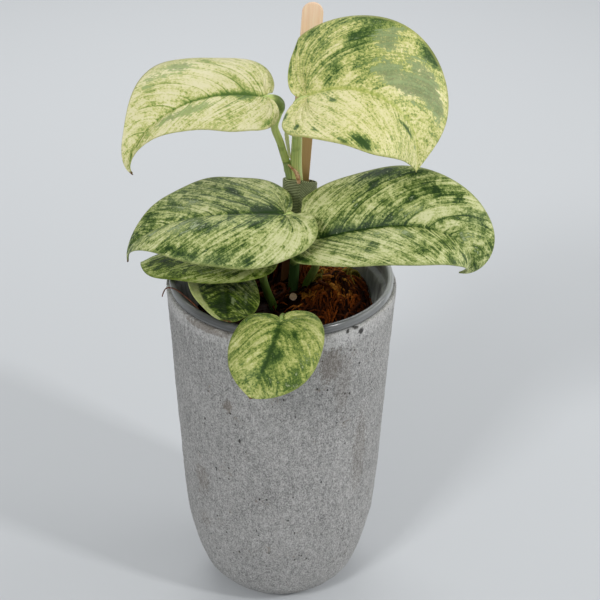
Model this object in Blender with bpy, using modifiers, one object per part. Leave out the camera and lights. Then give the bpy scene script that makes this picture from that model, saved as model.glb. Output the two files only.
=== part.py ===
"""A variegated pothos tied to a flat wooden stake. It roots in moss in a clear nursery pot,
which hangs by its rim inside a tall concrete pot. Lengths below are millimetres, angles degrees.
The origin is the middle of the concrete pot's base; the front of the plant looks towards -Y."""
import math
from dataclasses import dataclass

import bmesh
import bpy
import numpy as np
from mathutils import Matrix, Vector

MM = 0.001
SEAT = 0.3

# Concrete pot: outer radius at each height, then the wall and the ledge that carries the rim.
POT_HEIGHT = 202.0
POT_OUTSIDE = ((30.4, 0.0), (38.1, 4.0), (46.0, 13.1), (50.9, 27.3), (55.8, 49.5), (58.1, 76.8),
               (60.2, 115.1), (62.3, 157.6), (64.6, 195.0))
POT_LIP_RADIUS = 64.9
POT_LIP_ROUND = 1.2
POT_WALL = 6.3
POT_FLOOR = 9.0
POT_MOUTH_RADIUS = 61.3
POT_MOUTH_DEPTH = 12.0
TURN_STEPS = 48

# Nursery pot: hooked rim on the concrete lip, a step below it, and a tapered wall.
RIM_OUT = 63.2
RIM_IN = 59.8
RIM_HEIGHT = 5.0
SKIN = 1.0
STEP_TOP = 197.0
STEP_LOW = 194.5
WALL_TOP_RADIUS = 57.9
WALL_LOW_RADIUS = 44.0
NURSERY_FLOOR = 102.0
NURSERY_FLOOR_THICK = 1.4
DRAIN_RADIUS = 3.0
DRAIN_RING = 24.0
DRAIN_COUNT = 6

# Moss: fills the nursery pot, with a low mound and lumps on top.
MOSS_EDGE_TOP = 172.0
MOSS_MOUND = 4.0
MOSS_LUMP = 1.2
HOLE_CLEARANCE = 0.5
HOLE_DEPTH = 22.0

# Stake: a flat stick with a round top, leaning a little to the right.
STAKE_WIDTH = 11.4
STAKE_THICK = 2.0
STAKE_TOP = Vector((15.9, 28.0, 356.5))
STAKE_LENGTH = 250.0
STAKE_LEAN = 3.7

# Tie: a ribbed sleeve round the stake and the stems.
TIE_CENTRE = Vector((9.5, 23.6, 241.5))
TIE_WIDTH = 19.8
TIE_DEPTH = 17.4
TIE_HEIGHT = 27.0
TIE_SKIN = 1.0
TIE_SQUARENESS = 2.9
TIE_LEAN = 1.8

BLADE_ROWS = 17
BLADE_COLUMNS = 5
BLADE_THICK = 0.8
RIPPLE_WAVES = 4.0
ROUTE_STEP = 4.0


@dataclass
class Leaf:
    """A heart shaped blade. Left and right are seen from its base, looking to its tip."""
    name: str
    base: tuple
    heading: float
    pitch: float
    roll: float
    length: float
    half_widths: tuple
    lobes: tuple
    droop: float
    droop_power: float = 1.5
    hook: float = 0.0
    turn: float = 0.0
    twist: float = 0.0
    widest: float = 0.3
    point: float = 0.3
    lobe_droop: float = 0.0
    folds: tuple = (10.0, 10.0)
    curls: tuple = (30.0, 30.0)
    ripple: float = 0.5
    stalk: tuple = ()
    stalk_radii: tuple = (2.3, 2.0, 1.9)
    midrib_run: float = 14.0


LEAVES = (
    Leaf("leaf_upper_left", (-8.7, -6.0, 316.9), 206, 17, -22, 101.4, (26.8, 43.5), (2.9, 7.3),
         droop=81, droop_power=1.54, hook=74, turn=18, widest=0.17, point=0.49, lobe_droop=6,
         folds=(22, 23), curls=(52, 75),
         stalk=((1.8, 17.4, 268.5), (-1.3, 12.0, 282.2), (-4.3, 7.0, 293.4), (-2.7, 3.4, 302.0),
                (-0.9, -1.2, 309.6), (-3.9, -4.2, 314.3)),
         stalk_radii=(2.2, 2.1, 2.5)),
    Leaf("leaf_upper_right", (12.8, -18.0, 322.6), -9, 28, 36, 89.8, (46.0, 43.9), (12.4, 10.6),
         droop=135, droop_power=1.14, hook=-11, turn=9, twist=13, widest=0.35, point=0.15,
         lobe_droop=-25, folds=(2, 25), curls=(13, 2),
         stalk=((10.5, 21.8, 238.0), (10.3, 21.3, 248.0), (9.4, 19.2, 260.0), (8.4, 15.6, 271.0),
                (8.0, 9.5, 283.5), (8.0, 0.5, 296.5), (7.6, -9.0, 308.5), (8.6, -15.6, 317.8)),
         stalk_radii=(2.4, 2.8, 2.2)),
    Leaf("leaf_middle_left", (1.8, -14.0, 251.4), 187, 3, 1, 100.4, (41.3, 34.2), (15.9, 5.7),
         droop=65, droop_power=2.2, hook=35, turn=-13, twist=-15, widest=0.21, point=0.22,
         lobe_droop=-22, folds=(21, 11), curls=(81, 7),
         stalk=((6.7, 16.5, 204.3), (7.2, 12.6, 212.0), (8.4, 11.0, 222.0), (8.6, 10.6, 230.5),
                (7.2, 7.4, 238.0), (4.9, 0.4, 243.5), (4.0, -7.0, 247.5), (4.4, -11.5, 249.6)),
         stalk_radii=(2.1, 2.0, 1.9)),
    Leaf("leaf_middle_right", (13.0, -19.9, 238.0), -6, 18, 24, 111.5, (37.8, 32.3), (7.3, 7.2),
         droop=107, droop_power=2.75, hook=78, turn=1, twist=18, widest=0.41, point=0.15,
         lobe_droop=-39, folds=(26, 33), curls=(46, 27),
         stalk=((12.9, 24.0, 156.0), (12.9, 24.0, 168.0), (12.9, 24.0, 177.5), (14.0, 20.6, 187.0),
                (16.9, 14.0, 197.7), (19.3, 7.0, 207.6), (18.2, -4.0, 220.8), (12.6, -14.0, 230.0),
                (9.4, -18.6, 234.6)),
         stalk_radii=(2.3, 2.2, 1.9)),
    Leaf("leaf_lower_left", (-10.7, -6.0, 226.7), 157, -6, -12, 92.9, (37.9, 32.1), (15.5, 13.1),
         droop=43, droop_power=1.37, hook=-9, turn=-15, twist=15, widest=0.42, point=0.36,
         folds=(11, 10), curls=(25, 37),
         stalk=((-4.6, 12.0, 156.0), (-4.6, 12.0, 168.0), (-4.8, 11.9, 177.5), (-8.2, 7.4, 190.0),
                (-10.4, 1.0, 203.4), (-9.0, -4.6, 213.5), (-6.2, -7.6, 221.0), (-6.6, -7.6, 225.0)),
         stalk_radii=(2.7, 2.4, 1.9)),
    Leaf("leaf_inner_left", (-33.2, 5.0, 204.5), -85, -1, -6, 71.5, (19.6, 23.0), (6.9, 7.0),
         droop=-20, hook=-12, twist=-3, widest=0.34, point=0.18, lobe_droop=15,
         folds=(1, -1), curls=(6, -40), ripple=0.3,
         stalk=((-17.5, 13.0, 156.0), (-17.5, 13.0, 168.0), (-17.6, 13.1, 177.0), (-20.5, 15.4, 187.0),
                (-28.0, 16.4, 195.0), (-33.4, 12.0, 201.8)),
         stalk_radii=(1.8, 1.7, 1.5), midrib_run=10.0),
    Leaf("leaf_front", (0.3, -60.1, 211.5), -97, 4, -5, 49.2, (26.2, 24.8), (13.1, 6.4),
         droop=53, droop_power=0.6, hook=8, turn=-30, twist=-3, widest=0.39, point=0.15,
         lobe_droop=-11, folds=(7, 10), curls=(17, 45), ripple=0.4,
         stalk=((3.0, -20.0, 156.0), (3.0, -20.0, 168.0), (3.0, -20.2, 177.0), (2.8, -27.0, 189.0),
                (2.4, -35.5, 198.5),
                (1.6, -46.0, 206.5), (1.0, -54.0, 210.0)),
         stalk_radii=(1.7, 1.6, 1.3), midrib_run=8.0),
)

# Vine stem with its cut side shoot, and the small pieces at its top joint.
STEM_ROUTE = ((6.0, 22.0, 154.0), (6.0, 22.0, 168.0), (6.0, 22.0, 177.5), (7.0, 21.6, 195.0),
              (7.4, 21.2, 212.0), (6.2, 21.0, 226.0), (5.0, 20.6, 240.0), (4.3, 19.8, 256.0),
              (2.2, 17.7, 267.6))
STEM_RADII = (3.2, 2.8, 2.3)
SHOOT_ROUTE = ((6.3, 22.0, 180.0), (6.5, 18.8, 181.6), (6.7, 15.9, 183.4))
SHOOT_RADIUS = 2.2
SHEATH_ROUTE = ((4.2, 13.0, 272.0), (3.8, 12.3, 277.0), (3.1, 11.4, 284.0), (2.7, 10.4, 292.0))
SHEATH_WIDTHS = (0.9, 1.6, 2.2, 1.2)
HUSK_ROUTE = ((2.6, 14.4, 267.4), (5.0, 13.9, 264.8), (7.6, 13.8, 261.2), (9.3, 14.2, 256.6))
HUSK_WIDTHS = (1.4, 2.6, 1.6)
STRIP_THICK = 0.7
ROOT_ROUTE = ((-38.0, -31.0, 177.0), (-39.8, -33.0, 186.0), (-42.2, -36.0, 196.0),
              (-44.9, -37.0, 204.6), (-49.7, -31.0, 206.4), (-55.3, -25.6, 208.4),
              (-59.8, -21.6, 208.6), (-63.4, -20.2, 207.6), (-65.2, -20.0, 203.4),
              (-66.0, -17.6, 199.4))
ROOT_RADIUS = 0.45


def clear_scene():
    for item in list(bpy.data.objects):
        bpy.data.objects.remove(item, do_unlink=True)


def collection(name, parent=None):
    group = bpy.data.collections.new(name)
    (parent or bpy.context.scene.collection).children.link(group)
    return group


def material(name, colour, roughness, alpha=1.0):
    made = bpy.data.materials.new(name)
    made.use_nodes = True
    shader = made.node_tree.nodes["Principled BSDF"]
    shader.inputs["Base Color"].default_value = (*colour, 1.0)
    shader.inputs["Roughness"].default_value = roughness
    shader.inputs["Metallic"].default_value = 0.0
    shader.inputs["Alpha"].default_value = alpha
    made.diffuse_color = (*colour, alpha)
    return made


def add_object(name, data, group, finish=None):
    made = bpy.data.objects.new(name, data)
    group.objects.link(made)
    if finish:
        data.materials.append(finish)
    return made


def as_mesh(source, name, group, finish=None):
    """A closed mesh of a curve or a modified object, in place of it."""
    bpy.context.view_layer.update()
    shown = source.evaluated_get(bpy.context.evaluated_depsgraph_get())
    mesh = bpy.data.meshes.new_from_object(shown)
    mesh.transform(source.matrix_world)
    bpy.data.objects.remove(source, do_unlink=True)
    welded = bmesh.new()
    welded.from_mesh(mesh)
    bmesh.ops.remove_doubles(welded, verts=welded.verts, dist=1e-6)
    bmesh.ops.recalc_face_normals(welded, faces=welded.faces)
    welded.to_mesh(mesh)
    welded.free()
    mesh.name = name
    mesh.materials.clear()
    return add_object(name, mesh, group, finish)


def as_cutter(item):
    item.hide_render = True
    item.display_type = 'WIRE'
    return item


def combine(target, other, operation):
    mod = target.modifiers.new(operation.lower(), 'BOOLEAN')
    mod.operation = operation
    mod.solver = 'EXACT'
    if isinstance(other, bpy.types.Collection):
        mod.operand_type = 'COLLECTION'
        mod.collection = other
    else:
        mod.object = other


def turned(name, profile, group, finish):
    """A profile of (radius, height) turned round Z."""
    mesh = bpy.data.meshes.new(name)
    line = [(radius * MM, 0.0, height * MM) for radius, height in profile]
    mesh.from_pydata(line, [(i, i + 1) for i in range(len(line) - 1)], [])
    made = add_object(name, mesh, group, finish)
    screw = made.modifiers.new("turn", 'SCREW')
    screw.steps = TURN_STEPS
    screw.render_steps = TURN_STEPS
    screw.use_merge_vertices = True
    screw.merge_threshold = 0.00001
    screw.use_smooth_shade = True
    return made


def smooth_route(points, step=ROUTE_STEP):
    """Evenly spaced points on a smooth curve through the given ones."""
    knots = [Vector(p) for p in points]
    knots = [2 * knots[0] - knots[1]] + knots + [2 * knots[-1] - knots[-2]]
    fine = []
    for before, start, end, after in zip(knots, knots[1:], knots[2:], knots[3:]):
        for t in np.linspace(0.0, 1.0, 12, endpoint=False):
            bend = 2 * start + (end - before) * t
            bend += (2 * before - 5 * start + 4 * end - after) * t ** 2
            bend += (3 * start - before - 3 * end + after) * t ** 3
            fine.append(0.5 * bend)
    fine.append(knots[-2])
    line = np.array([tuple(p) for p in fine])
    reach = np.concatenate([[0.0], np.cumsum(np.linalg.norm(np.diff(line, axis=0), axis=1))])
    count = max(2, round(reach[-1] / step)) + 1
    places = np.linspace(0.0, reach[-1], count)
    return np.stack([np.interp(places, reach, line[:, k]) for k in range(3)], axis=-1)


def spread(values, count):
    return np.interp(np.linspace(0.0, 1.0, count), np.linspace(0.0, 1.0, len(values)), values)


def tube(name, route, radii, group, finish=None):
    """A round stem along a route, with a radius at each of its points."""
    curve = bpy.data.curves.new(name, 'CURVE')
    curve.dimensions = '3D'
    curve.bevel_depth = MM
    curve.bevel_resolution = 2
    curve.use_fill_caps = True
    spline = curve.splines.new('POLY')
    spline.points.add(len(route) - 1)
    for point, place, radius in zip(spline.points, route, radii):
        point.co = (*(Vector(place) * MM), 1.0)
        point.radius = radius
    return add_object(name, curve, group, finish)


def bezier(points, count):
    t = np.linspace(0.0, 1.0, count)[:, None]
    a, b, c, d = (np.array(p, float) for p in points)
    return (1 - t) ** 3 * a + 3 * t * (1 - t) ** 2 * b + 3 * t * t * (1 - t) * c + t ** 3 * d


class Blade:
    """Places a point of a leaf: u runs round the margin from sinus to tip, t from midrib to margin."""

    def __init__(self, leaf):
        self.leaf = leaf
        self.margins = [self.margin(side) for side in (0, 1)]
        starts = [self.vein_starts(edge) for edge in self.margins]
        self.starts = 0.5 * (starts[0] + starts[1])
        self.along = np.linspace(0.0, 1.0, len(self.starts))
        self.lay_midrib()

    def margin(self, side):
        """Half of the flat outline: back round the lobe, out to the widest place, in to the tip."""
        leaf = self.leaf
        wide, lobe = leaf.half_widths[side], leaf.lobes[side]
        reach, place = leaf.length, leaf.widest * leaf.length
        sharp = leaf.point
        back = bezier(((0, 0), (-0.55 * lobe, 0), (-lobe, 0.12 * wide), (-lobe, 0.45 * wide)), 60)
        out = bezier(((-lobe, 0.45 * wide), (-lobe, 0.8 * wide),
                      (0.5 * (place - lobe), wide), (place, wide)), 60)
        tip = bezier(((place, wide), (0.5 * (place + reach), wide),
                      (reach - sharp * (reach - place), 0.22 * wide * (1 - sharp) + 0.02 * wide),
                      (reach, 0)), 120)
        line = np.concatenate([back[:-1], out[:-1], tip])
        arc = np.concatenate([[0.0], np.cumsum(np.linalg.norm(np.diff(line, axis=0), axis=1))])
        even = np.linspace(0.0, arc[-1], 401)
        return np.stack([np.interp(even, arc, line[:, k]) for k in range(2)], axis=-1)

    def vein_starts(self, edge):
        """Where on the midrib the side vein to each margin point begins."""
        reach = self.leaf.length
        fade = 1.0 - (np.clip(edge[:, 0], 0.0, reach) / reach) ** 3
        starts = np.maximum.accumulate(np.maximum(0.0, edge[:, 0] - 0.55 * edge[:, 1] * fade))
        starts[-1] = reach
        return starts

    def lay_midrib(self):
        """The bent midrib, and behind the base the line that the lobes follow."""
        leaf = self.leaf
        longest = max(leaf.lobes)
        ahead = np.linspace(0.0, leaf.length, 81)
        behind = np.linspace(-longest, 0.0, 21)[:-1]
        x = np.concatenate([behind, ahead])
        u = np.clip(x / leaf.length, 0.0, 1.0)
        pitch = leaf.pitch - leaf.droop * u ** leaf.droop_power
        pitch = pitch - leaf.hook * np.clip((u - 0.8) / 0.2, 0.0, 1.0) ** 1.5
        pitch = np.radians(pitch + leaf.lobe_droop * np.clip(-x / longest, 0.0, 1.0))
        heading = np.radians(leaf.heading + leaf.turn * u)
        roll = np.radians(leaf.roll + leaf.twist * u)
        forward = np.stack([np.cos(pitch) * np.cos(heading), np.cos(pitch) * np.sin(heading),
                            np.sin(pitch)], axis=-1)
        level = np.stack([-np.sin(heading), np.cos(heading), np.zeros_like(heading)], axis=-1)
        upward = np.cross(forward, level)
        steps = 0.5 * (forward[1:] + forward[:-1]) * np.diff(x)[:, None]
        line = np.concatenate([np.zeros((1, 3)), np.cumsum(steps, axis=0)])
        line = line - line[len(behind)] + np.array(leaf.base)
        self.x, self.line, self.forward = x, line, forward
        self.left = level * np.cos(roll)[:, None] + upward * np.sin(roll)[:, None]
        self.up = upward * np.cos(roll)[:, None] - level * np.sin(roll)[:, None]

    def read(self, values, x):
        return np.array([np.interp(x, self.x, values[:, k]) for k in range(3)])

    def point(self, u, t):
        leaf = self.leaf
        side = 0 if t >= 0.0 else 1
        out = abs(t)
        edge = [np.interp(u, self.along, self.margins[side][:, k]) for k in range(2)]
        start = np.interp(u, self.along, self.starts)
        x = start + (edge[0] - start) * out ** 1.5
        y = edge[1] * out
        fold = math.radians(leaf.folds[side])
        bend = math.radians(leaf.curls[side]) / leaf.half_widths[side] + 1e-9
        across = (math.sin(fold) - math.sin(fold - bend * y)) / bend
        rise = (math.cos(fold - bend * y) - math.cos(fold)) / bend
        rise += leaf.ripple * out ** 2 * math.sin(2 * math.pi * RIPPLE_WAVES * u + side)
        across = across if t >= 0.0 else -across
        return self.read(self.line, x) + across * self.read(self.left, x) + rise * self.read(self.up, x)

    def under_midrib(self, x, depth):
        return self.read(self.line, x) - depth * self.read(self.up, x)


def blade_sheet(leaf, blade):
    """The blade's upper face: a grid laid over the leaf, its rows along the side veins."""
    sheet = bmesh.new()
    bmesh.ops.create_grid(sheet, x_segments=BLADE_ROWS, y_segments=2 * BLADE_COLUMNS, size=1.0)
    first = 0.05
    for vert in sheet.verts:
        u = first + (1.0 - first) * 0.5 * (vert.co.x + 1.0)
        t = vert.co.y if abs(vert.co.y) > 1e-6 else 0.0
        vert.co = Vector(blade.point(u, t)) * MM
    bmesh.ops.remove_doubles(sheet, verts=sheet.verts, dist=2e-5)
    bmesh.ops.dissolve_degenerate(sheet, edges=sheet.edges, dist=1e-5)
    bmesh.ops.triangulate(sheet, faces=sheet.faces)
    mesh = bpy.data.meshes.new(leaf.name)
    sheet.to_mesh(mesh)
    sheet.free()
    return mesh


def leaf_stalk_route(leaf, blade):
    """The petiole's route, carried on under the blade as the start of its midrib."""
    under = [blade.under_midrib(x, depth)
             for x, depth in ((1.0, 1.1), (0.5 * leaf.midrib_run, 1.0), (leaf.midrib_run, 0.8))]
    return smooth_route(list(leaf.stalk) + [tuple(p) for p in under], 3.2)


def make_leaf(leaf, group, cutters, finish):
    blade = Blade(leaf)
    made = add_object(leaf.name, blade_sheet(leaf, blade), group, finish)
    thick = made.modifiers.new("thickness", 'SOLIDIFY')
    thick.thickness = BLADE_THICK * MM
    thick.offset = -1.0
    route = leaf_stalk_route(leaf, blade)
    reach = np.concatenate([[0.0], np.cumsum(np.linalg.norm(np.diff(route, axis=0), axis=1))])
    run = leaf.midrib_run / reach[-1]
    radii = np.interp(reach / reach[-1], (0.0, 0.5 * (1 - run), 1.0 - run, 1.0),
                      (*leaf.stalk_radii, 0.35))
    stalk = as_mesh(tube(leaf.name + "_stalk", route, radii, cutters), leaf.name + "_stalk", cutters)
    combine(made, as_cutter(stalk), 'UNION')


def make_concrete_pot(group, finish):
    rise = [(0.0, 0.0)] + list(POT_OUTSIDE)
    lip = [(POT_LIP_RADIUS, POT_HEIGHT - POT_LIP_ROUND),
           (POT_LIP_RADIUS - 0.35, POT_HEIGHT - 0.35), (POT_LIP_RADIUS - POT_LIP_ROUND, POT_HEIGHT)]
    mouth = [(POT_MOUTH_RADIUS, POT_HEIGHT), (POT_MOUTH_RADIUS, POT_HEIGHT - POT_MOUTH_DEPTH)]
    inside = [(radius - POT_WALL, height) for radius, height in reversed(POT_OUTSIDE[2:-1])]
    floor = [(POT_OUTSIDE[2][0] - 2 * POT_WALL, POT_FLOOR + 1.0), (0.0, POT_FLOOR)]
    profile = rise + lip + mouth + inside + floor
    turned("concrete_pot", profile[::-1], group, finish)


def nursery_inside_radius(height):
    low = NURSERY_FLOOR + NURSERY_FLOOR_THICK
    share = (height - low) / (STEP_LOW + 0.6 - low)
    return WALL_LOW_RADIUS + (WALL_TOP_RADIUS - WALL_LOW_RADIUS) * share - SKIN


def make_nursery_pot(group, cutters, finish):
    base = POT_HEIGHT + SEAT
    top = base + RIM_HEIGHT
    collar = RIM_IN + SKIN
    hook = [(collar, STEP_TOP), (collar, top - SKIN), (RIM_OUT - SKIN, top - SKIN),
            (RIM_OUT - SKIN, base), (RIM_OUT, base), (RIM_OUT, top - 1.0), (RIM_OUT - 0.8, top),
            (RIM_IN + 0.8, top), (RIM_IN, top - 0.8)]
    inside = [(RIM_IN, STEP_TOP + 0.6), (WALL_TOP_RADIUS - SKIN, STEP_LOW + 0.6),
              (WALL_LOW_RADIUS - SKIN, NURSERY_FLOOR + NURSERY_FLOOR_THICK),
              (0.0, NURSERY_FLOOR + NURSERY_FLOOR_THICK)]
    outside = [(0.0, NURSERY_FLOOR), (WALL_LOW_RADIUS, NURSERY_FLOOR), (WALL_TOP_RADIUS, STEP_LOW)]
    profile = outside + hook + inside
    pot = turned("nursery_pot", profile[::-1], group, finish)
    drains = collection("drain_cutters", cutters)
    for number in range(DRAIN_COUNT):
        angle = 2 * math.pi * number / DRAIN_COUNT
        place = (DRAIN_RING * math.cos(angle), DRAIN_RING * math.sin(angle), NURSERY_FLOOR)
        drill(f"drain_{number + 1}", place, DRAIN_RADIUS, 8.0, drains, 12)
    combine(pot, drains, 'DIFFERENCE')


def drill(name, place, radius, depth, group, sides=16):
    """An upright cylinder for cutting, its middle at the given place."""
    shape = bmesh.new()
    bmesh.ops.create_cone(shape, cap_ends=True, segments=sides, radius1=radius * MM,
                          radius2=radius * MM, depth=depth * MM,
                          matrix=Matrix.Translation(Vector(place) * MM))
    mesh = bpy.data.meshes.new(name)
    shape.to_mesh(mesh)
    shape.free()
    return as_cutter(add_object(name, mesh, group))


def moss_lump(x, y):
    waves = math.sin(0.31 * x + 0.8) * math.cos(0.27 * y - 0.4) + 0.6 * math.sin(0.17 * (x + y))
    return MOSS_LUMP * waves


def make_moss(group, cutters, finish):
    low = NURSERY_FLOOR + NURSERY_FLOOR_THICK + SEAT
    edge = nursery_inside_radius(MOSS_EDGE_TOP) - SEAT
    foot = nursery_inside_radius(low) - SEAT
    rings = np.linspace(edge, 0.0, 9)
    top = [(radius, MOSS_EDGE_TOP + MOSS_MOUND * (1.0 - (radius / edge) ** 2)) for radius in rings]
    side = [(foot + (edge - foot) * share, low + (MOSS_EDGE_TOP - low) * share)
            for share in (0.0, 0.5)]
    rough = turned("moss_fill", top[::-1] + side[::-1] + [(0.0, low)], group, None)
    moss = as_mesh(rough, "moss_fill", group, finish)
    for vert in moss.data.vertices:
        radius = math.hypot(vert.co.x, vert.co.y) / MM
        if vert.co.z > (MOSS_EDGE_TOP - 1.0) * MM:
            fade = min(1.0, (edge - radius) / 8.0)
            vert.co.z += fade * moss_lump(vert.co.x / MM, vert.co.y / MM) * MM
    holes = collection("moss_cutters", cutters)
    stems = [("stem", STEM_ROUTE[1], STEM_RADII[0])]
    stems += [(leaf.name, leaf.stalk[1], leaf.stalk_radii[0]) for leaf in LEAVES
              if leaf.stalk[0][2] < MOSS_EDGE_TOP]
    for name, place, radius in stems:
        middle = (place[0], place[1], MOSS_EDGE_TOP)
        drill(name + "_hole", middle, radius + HOLE_CLEARANCE, 2 * HOLE_DEPTH, holes, 12)
    holes.objects.link(stake_hole())
    combine(moss, holes, 'DIFFERENCE')


def stake_frame():
    lean = Matrix.Rotation(math.radians(STAKE_LEAN), 4, 'Y')
    return Matrix.Translation(STAKE_TOP * MM) @ lean


def stake_hole():
    shape = bmesh.new()
    bmesh.ops.create_cube(shape, size=1.0)
    sunk = STAKE_LENGTH + 1.0
    size = Vector((STAKE_WIDTH + 2 * HOLE_CLEARANCE, STAKE_THICK + 2 * HOLE_CLEARANCE, sunk)) * MM
    bmesh.ops.transform(shape, verts=shape.verts, matrix=stake_frame()
                        @ Matrix.Translation((0.0, 0.0, -0.5 * sunk * MM)) @ Matrix.Diagonal((*size, 1.0)))
    mesh = bpy.data.meshes.new("stake_hole")
    shape.to_mesh(mesh)
    shape.free()
    return as_cutter(bpy.data.objects.new("stake_hole", mesh))


def make_stake(group, finish):
    """Flat outline with a half round top, standing on edge."""
    half = 0.5 * STAKE_WIDTH
    arc = [(half * math.cos(a), -half + half * math.sin(a)) for a in np.linspace(0.0, math.pi, 13)]
    outline = arc + [(-half, -STAKE_LENGTH), (half, -STAKE_LENGTH)]
    curve = bpy.data.curves.new("wooden_stake", 'CURVE')
    curve.dimensions = '2D'
    curve.fill_mode = 'BOTH'
    curve.extrude = 0.5 * STAKE_THICK * MM
    spline = curve.splines.new('POLY')
    spline.points.add(len(outline) - 1)
    for point, (x, y) in zip(spline.points, outline):
        point.co = (x * MM, y * MM, 0.0, 1.0)
    spline.use_cyclic_u = True
    stake = add_object("wooden_stake", curve, group)
    stake.matrix_world = stake_frame() @ Matrix.Rotation(math.radians(90.0), 4, 'X')
    as_mesh(stake, "wooden_stake", group, finish)


def make_tie(group, finish):
    """An oval sleeve with squared ends, leaning a little."""
    shape = bmesh.new()
    bmesh.ops.create_cone(shape, cap_ends=False, segments=36, radius1=1.0, radius2=1.0, depth=1.0)
    for vert in shape.verts:
        x, y, z = vert.co
        reach = (abs(x) ** TIE_SQUARENESS + abs(y) ** TIE_SQUARENESS) ** (-1.0 / TIE_SQUARENESS)
        vert.co = Vector((0.5 * TIE_WIDTH * reach * x, 0.5 * TIE_DEPTH * reach * y, TIE_HEIGHT * z)) * MM
    bmesh.ops.recalc_face_normals(shape, faces=shape.faces)
    mesh = bpy.data.meshes.new("garden_tie")
    shape.to_mesh(mesh)
    shape.free()
    tie = add_object("garden_tie", mesh, group, finish)
    tie.location = TIE_CENTRE * MM
    tie.rotation_euler.y = math.radians(TIE_LEAN)
    skin = tie.modifiers.new("skin", 'SOLIDIFY')
    skin.thickness = TIE_SKIN * MM
    skin.offset = -1.0


def make_stem(group, cutters, finish):
    route = smooth_route(STEM_ROUTE)
    rough = tube("vine_stem", route, spread(STEM_RADII, len(route)), group)
    stem = as_mesh(rough, "vine_stem", group, finish)
    side = smooth_route(SHOOT_ROUTE, 3.0)
    shoot = as_mesh(tube("shoot", side, [SHOOT_RADIUS] * len(side), cutters), "shoot", cutters)
    combine(stem, as_cutter(shoot), 'UNION')


def make_strip(name, route_points, widths, facing, group, finish):
    """A thin dry strip: a ribbon along a route, its faces turned to the given side."""
    route = smooth_route(route_points, 3.0)
    spans = spread(widths, len(route))
    strip = bmesh.new()
    bmesh.ops.create_grid(strip, x_segments=len(route) - 1, y_segments=2, size=1.0)
    for vert in strip.verts:
        number = round(0.5 * (vert.co.x + 1.0) * (len(route) - 1))
        ahead = Vector(route[min(number + 1, len(route) - 1)] - route[max(number - 1, 0)])
        across = ahead.cross(Vector(facing)).normalized()
        sag = -0.3 * abs(vert.co.y)
        place = Vector(route[number]) + across * (0.5 * spans[number] * vert.co.y)
        vert.co = (place + Vector(facing) * sag) * MM
    bmesh.ops.triangulate(strip, faces=strip.faces)
    mesh = bpy.data.meshes.new(name)
    strip.to_mesh(mesh)
    strip.free()
    made = add_object(name, mesh, group, finish)
    thick = made.modifiers.new("thickness", 'SOLIDIFY')
    thick.thickness = STRIP_THICK * MM
    thick.offset = 0.0
    return made


def main():
    clear_scene()
    group = collection("potted_satin_pothos")
    cutters = collection("cutters")
    cutters.hide_render = True
    concrete = material("concrete", (0.36, 0.36, 0.37), 0.9)
    smoky = material("smoky_plastic", (0.45, 0.48, 0.49), 0.15, 0.6)
    moss = material("moss", (0.22, 0.10, 0.03), 0.95)
    wood = material("pale_wood", (0.80, 0.58, 0.38), 0.6)
    tape = material("tie_tape", (0.08, 0.10, 0.06), 0.8)
    stem = material("stem_green", (0.08, 0.22, 0.05), 0.45)
    leaf_green = material("variegated_leaf", (0.34, 0.45, 0.16), 0.4)
    husk = material("dry_husk", (0.45, 0.22, 0.09), 0.7)
    pale = material("pale_sheath", (0.70, 0.72, 0.38), 0.45)
    root = material("root_brown", (0.26, 0.10, 0.06), 0.7)
    make_concrete_pot(group, concrete)
    make_nursery_pot(group, cutters, smoky)
    make_moss(group, cutters, moss)
    make_stake(group, wood)
    make_tie(group, tape)
    make_stem(group, cutters, stem)
    for leaf in LEAVES:
        make_leaf(leaf, group, cutters, leaf_green)
    make_strip("leaf_sheath", SHEATH_ROUTE, SHEATH_WIDTHS, (0.0, -1.0, 0.0), group, pale)
    make_strip("dry_husk", HUSK_ROUTE, HUSK_WIDTHS, (0.0, -1.0, 0.0), group, husk)
    roots = smooth_route(ROOT_ROUTE, 3.0)
    rough = tube("loose_root", roots, [ROOT_RADIUS] * len(roots), group)
    as_mesh(rough, "loose_root", group, root)


main()
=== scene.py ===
"""The look of a variegated pothos in a clear nursery pot inside a tall concrete pot.
Lengths are millimetres and angles degrees; meshes, the camera and the lamps are in metres."""
import math
import random
from dataclasses import dataclass

import bmesh
import bpy
import numpy as np
from mathutils import Matrix, Vector
from mathutils import noise as field


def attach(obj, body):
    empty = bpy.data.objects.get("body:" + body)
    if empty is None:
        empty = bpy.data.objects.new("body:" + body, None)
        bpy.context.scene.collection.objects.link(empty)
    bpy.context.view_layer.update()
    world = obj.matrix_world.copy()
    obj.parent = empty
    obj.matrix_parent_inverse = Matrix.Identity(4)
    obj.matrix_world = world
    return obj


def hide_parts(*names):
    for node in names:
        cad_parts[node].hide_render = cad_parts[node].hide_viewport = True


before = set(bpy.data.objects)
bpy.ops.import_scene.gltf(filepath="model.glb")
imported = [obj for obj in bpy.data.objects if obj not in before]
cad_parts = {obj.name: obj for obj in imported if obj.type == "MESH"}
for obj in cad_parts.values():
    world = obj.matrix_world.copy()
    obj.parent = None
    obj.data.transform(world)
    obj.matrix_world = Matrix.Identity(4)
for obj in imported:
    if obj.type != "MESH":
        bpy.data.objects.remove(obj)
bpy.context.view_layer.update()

MM = 0.001
ROOT = "root"
MERGE = 1e-6
SPLINE_POINTS = 12

CAMERA_PLACE = (0.01063, -0.80127, 0.66308)
CAMERA_DOWN = 30.6
CAMERA_ROLL = 0.7
CAMERA_LENS = 98.2
PLANT_MIDDLE = (0.0, 0.0, 0.15)
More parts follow.
